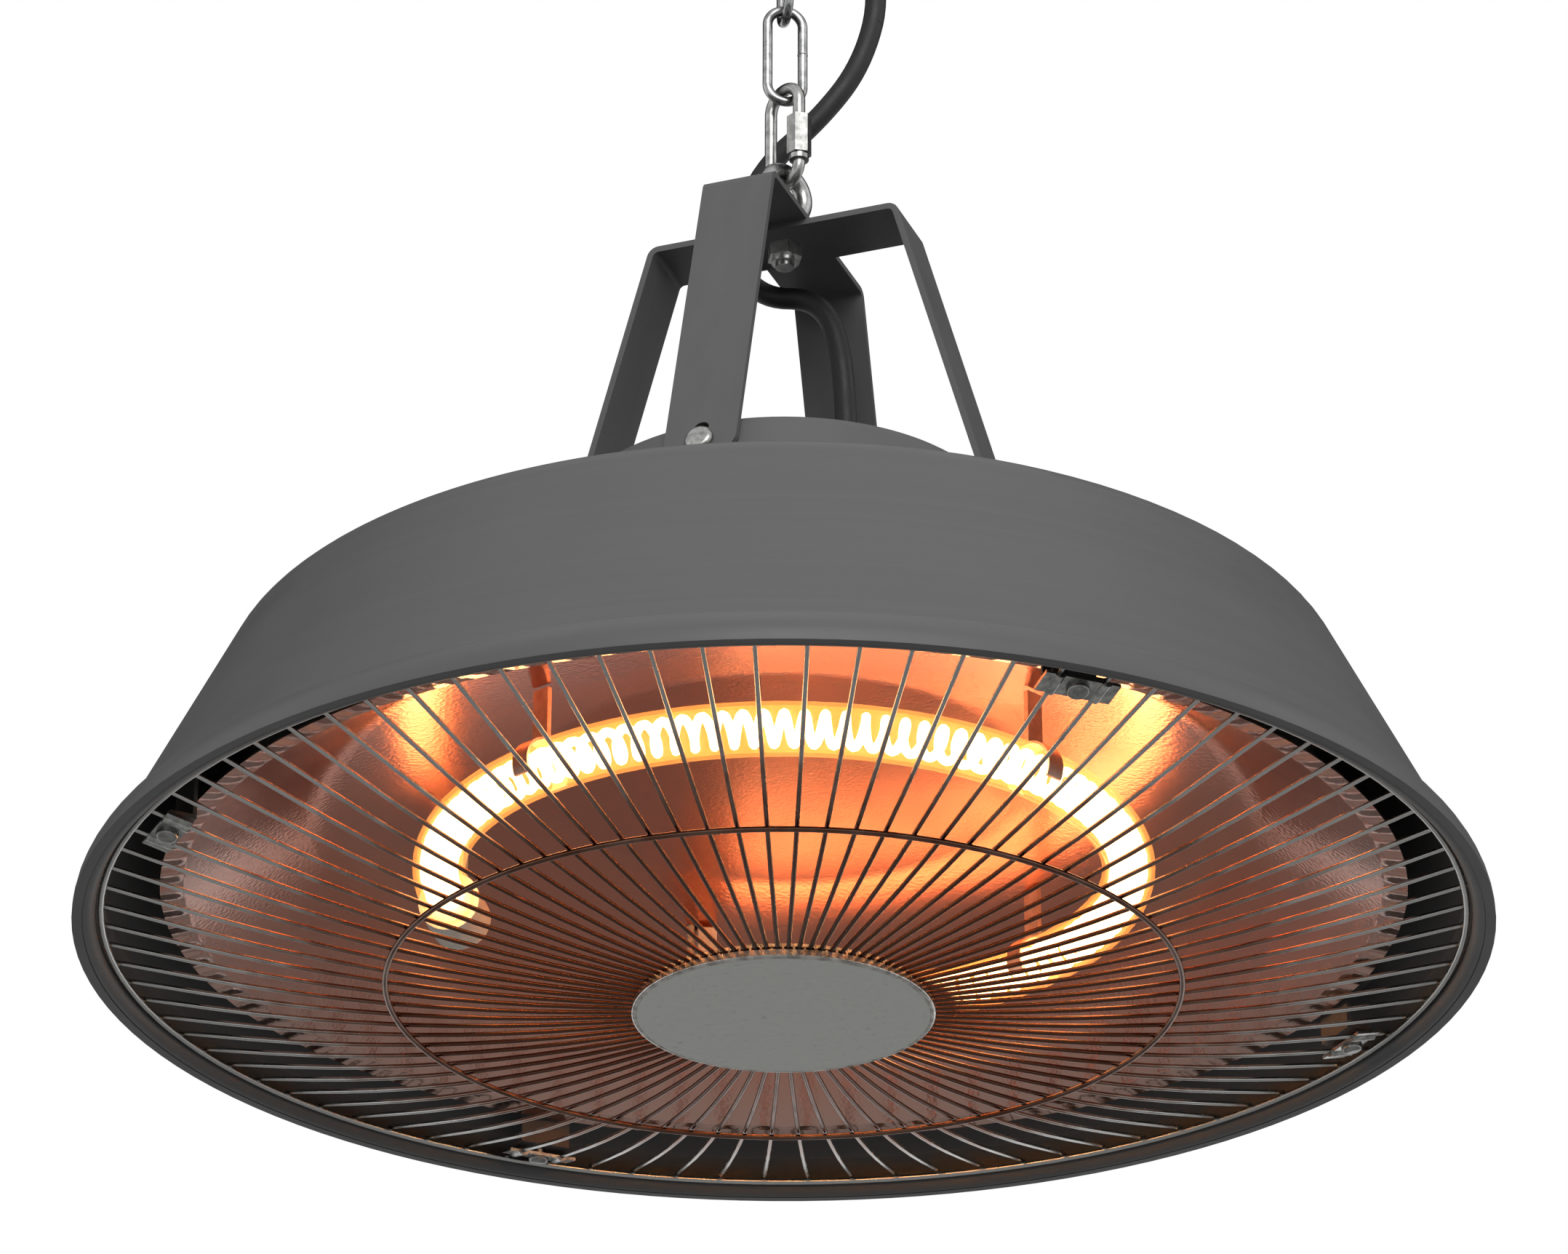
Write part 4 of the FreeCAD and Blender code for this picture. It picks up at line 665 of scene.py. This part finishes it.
tape_thick = 0.0014
tape_slack = 0.0003
link_front = 0.0032
strap_left = coil_middle + coil_reach - coil_pitch * 3 - lead_radius - tape_thick
strap_right = coil_middle + coil_reach + lead_radius + tape_thick + tape_slack
strap_front = -link_front - tape_thick
strap_back = coil_back + lead_radius + tape_thick + tape_slack
corner_round = 0.0044
tongue_long = 0.016
tongue_thick = 0.0011
for name, stands_for in (("strap_low", "coil_tie_low"), ("strap_high", "coil_tie_high")):
    low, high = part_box(stands_for)
    bpy.ops.mesh.primitive_cube_add(size=1)
    band = bpy.context.object
    band.name = name
    band.data.transform(Matrix.Diagonal((strap_right - strap_left, strap_back - strap_front,
                                         high.z - low.z, 1)))
    for face in band.data.polygons:
        face.select = abs(face.normal.z) > 0.5
    bpy.ops.object.mode_set(mode="EDIT")
    bpy.ops.mesh.select_mode(type="FACE")
    bpy.ops.mesh.delete(type="ONLY_FACE")
    bpy.ops.mesh.select_all(action="DESELECT")
    bpy.ops.object.mode_set(mode="OBJECT")
    for edge in band.data.edges:
        ends = [band.data.vertices[index].co for index in edge.vertices]
        edge.select = abs(ends[0].z - ends[1].z) > 0.001
    bpy.ops.object.mode_set(mode="EDIT")
    bpy.ops.mesh.select_mode(type="EDGE")
    bpy.ops.mesh.bevel(offset=corner_round, segments=6, affect="EDGES")
    bpy.ops.object.mode_set(mode="OBJECT")
    wall = band.modifiers.new("wall", "SOLIDIFY")
    wall.thickness = tape_thick
    wall.offset = -1
    bpy.ops.object.modifier_apply(modifier="wall")
    bpy.ops.mesh.primitive_cube_add(size=1)
    tongue = bpy.context.object
    tongue.data.transform(Matrix.Translation((0.002, (strap_front - strap_back) / 2 - 0.0005, 0))
                          @ Matrix.Diagonal((tongue_long, tongue_thick,
                                             (high.z - low.z) * 0.96, 1)))
    band.select_set(True)
    bpy.context.view_layer.objects.active = band
    bpy.ops.object.join()
    soft = band.modifiers.new("soft", "BEVEL")
    soft.width = 0.0003
    soft.segments = 2
    bpy.ops.object.modifier_apply(modifier="soft")
    band.data.transform(coil_turn @ Matrix.Translation(
        ((strap_left + strap_right) / 2, (strap_front + strap_back) / 2, (low.z + high.z) / 2)))
    bpy.ops.object.shade_smooth_by_angle(angle=math.radians(40))
    band.data.materials.append(tape)
    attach(band, "hanger")
    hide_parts(stands_for)
    bpy.ops.object.select_all(action="DESELECT")

# The lead ends in a round two-pin plug, moulded in black rubber on to the cable, with a ribbed
# neck that keeps the cable from kinking and a waist to grip.
rib_pitch = 0.0024
rib_wide = 0.0060
groove_wide = 0.0051
neck_wide = 0.0048
plug_rows = []
for rib in range(4):
    plug_rows.append((0.0012 + rib * rib_pitch, rib_wide))
    plug_rows.append((0.0018 + rib * rib_pitch, rib_wide))
    plug_rows.append((0.0022 + rib * rib_pitch, groove_wide))
    plug_rows.append((0.0032 + rib * rib_pitch, groove_wide))
plug_rows += [(0.0108, 0.0096), (0.0116, 0.0120), (0.0134, 0.0137), (0.0152, 0.0140),
              (0.0180, 0.0132), (0.0230, 0.0129), (0.0278, 0.0134), (0.0302, 0.0140),
              (0.0312, 0.0139), (0.0320, 0.0130)]
bpy.ops.mesh.primitive_circle_add(vertices=48, radius=neck_wide, fill_type="NGON")
plug = bpy.context.object
plug.name = "plug"
bpy.ops.object.mode_set(mode="EDIT")
bpy.ops.mesh.select_all(action="SELECT")
was_down, was_wide = 0.0, neck_wide
for down, wide in plug_rows:
    bpy.ops.mesh.extrude_region_move(TRANSFORM_OT_translate={"value": (0, 0, was_down - down)})
    bpy.ops.transform.resize(value=(wide / was_wide, wide / was_wide, 1),
                             center_override=(0, 0, -down))
    was_down, was_wide = down, wide
bpy.ops.mesh.select_all(action="SELECT")
bpy.ops.mesh.normals_make_consistent(inside=False)
bpy.ops.object.mode_set(mode="OBJECT")
bpy.ops.object.shade_smooth_by_angle(angle=math.radians(35))
plug.data.transform(Matrix.Translation(plug_place) @ coil_turn)
plug.data.materials.append(rubber)
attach(plug, "hanger")
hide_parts("plug_body")
bpy.ops.object.select_all(action="DESELECT")
pin_metal = plated("pin_metal", (176, 174, 166), (224, 222, 214), 0.2, 300.0)
dress(pin_metal, "plug_pins")
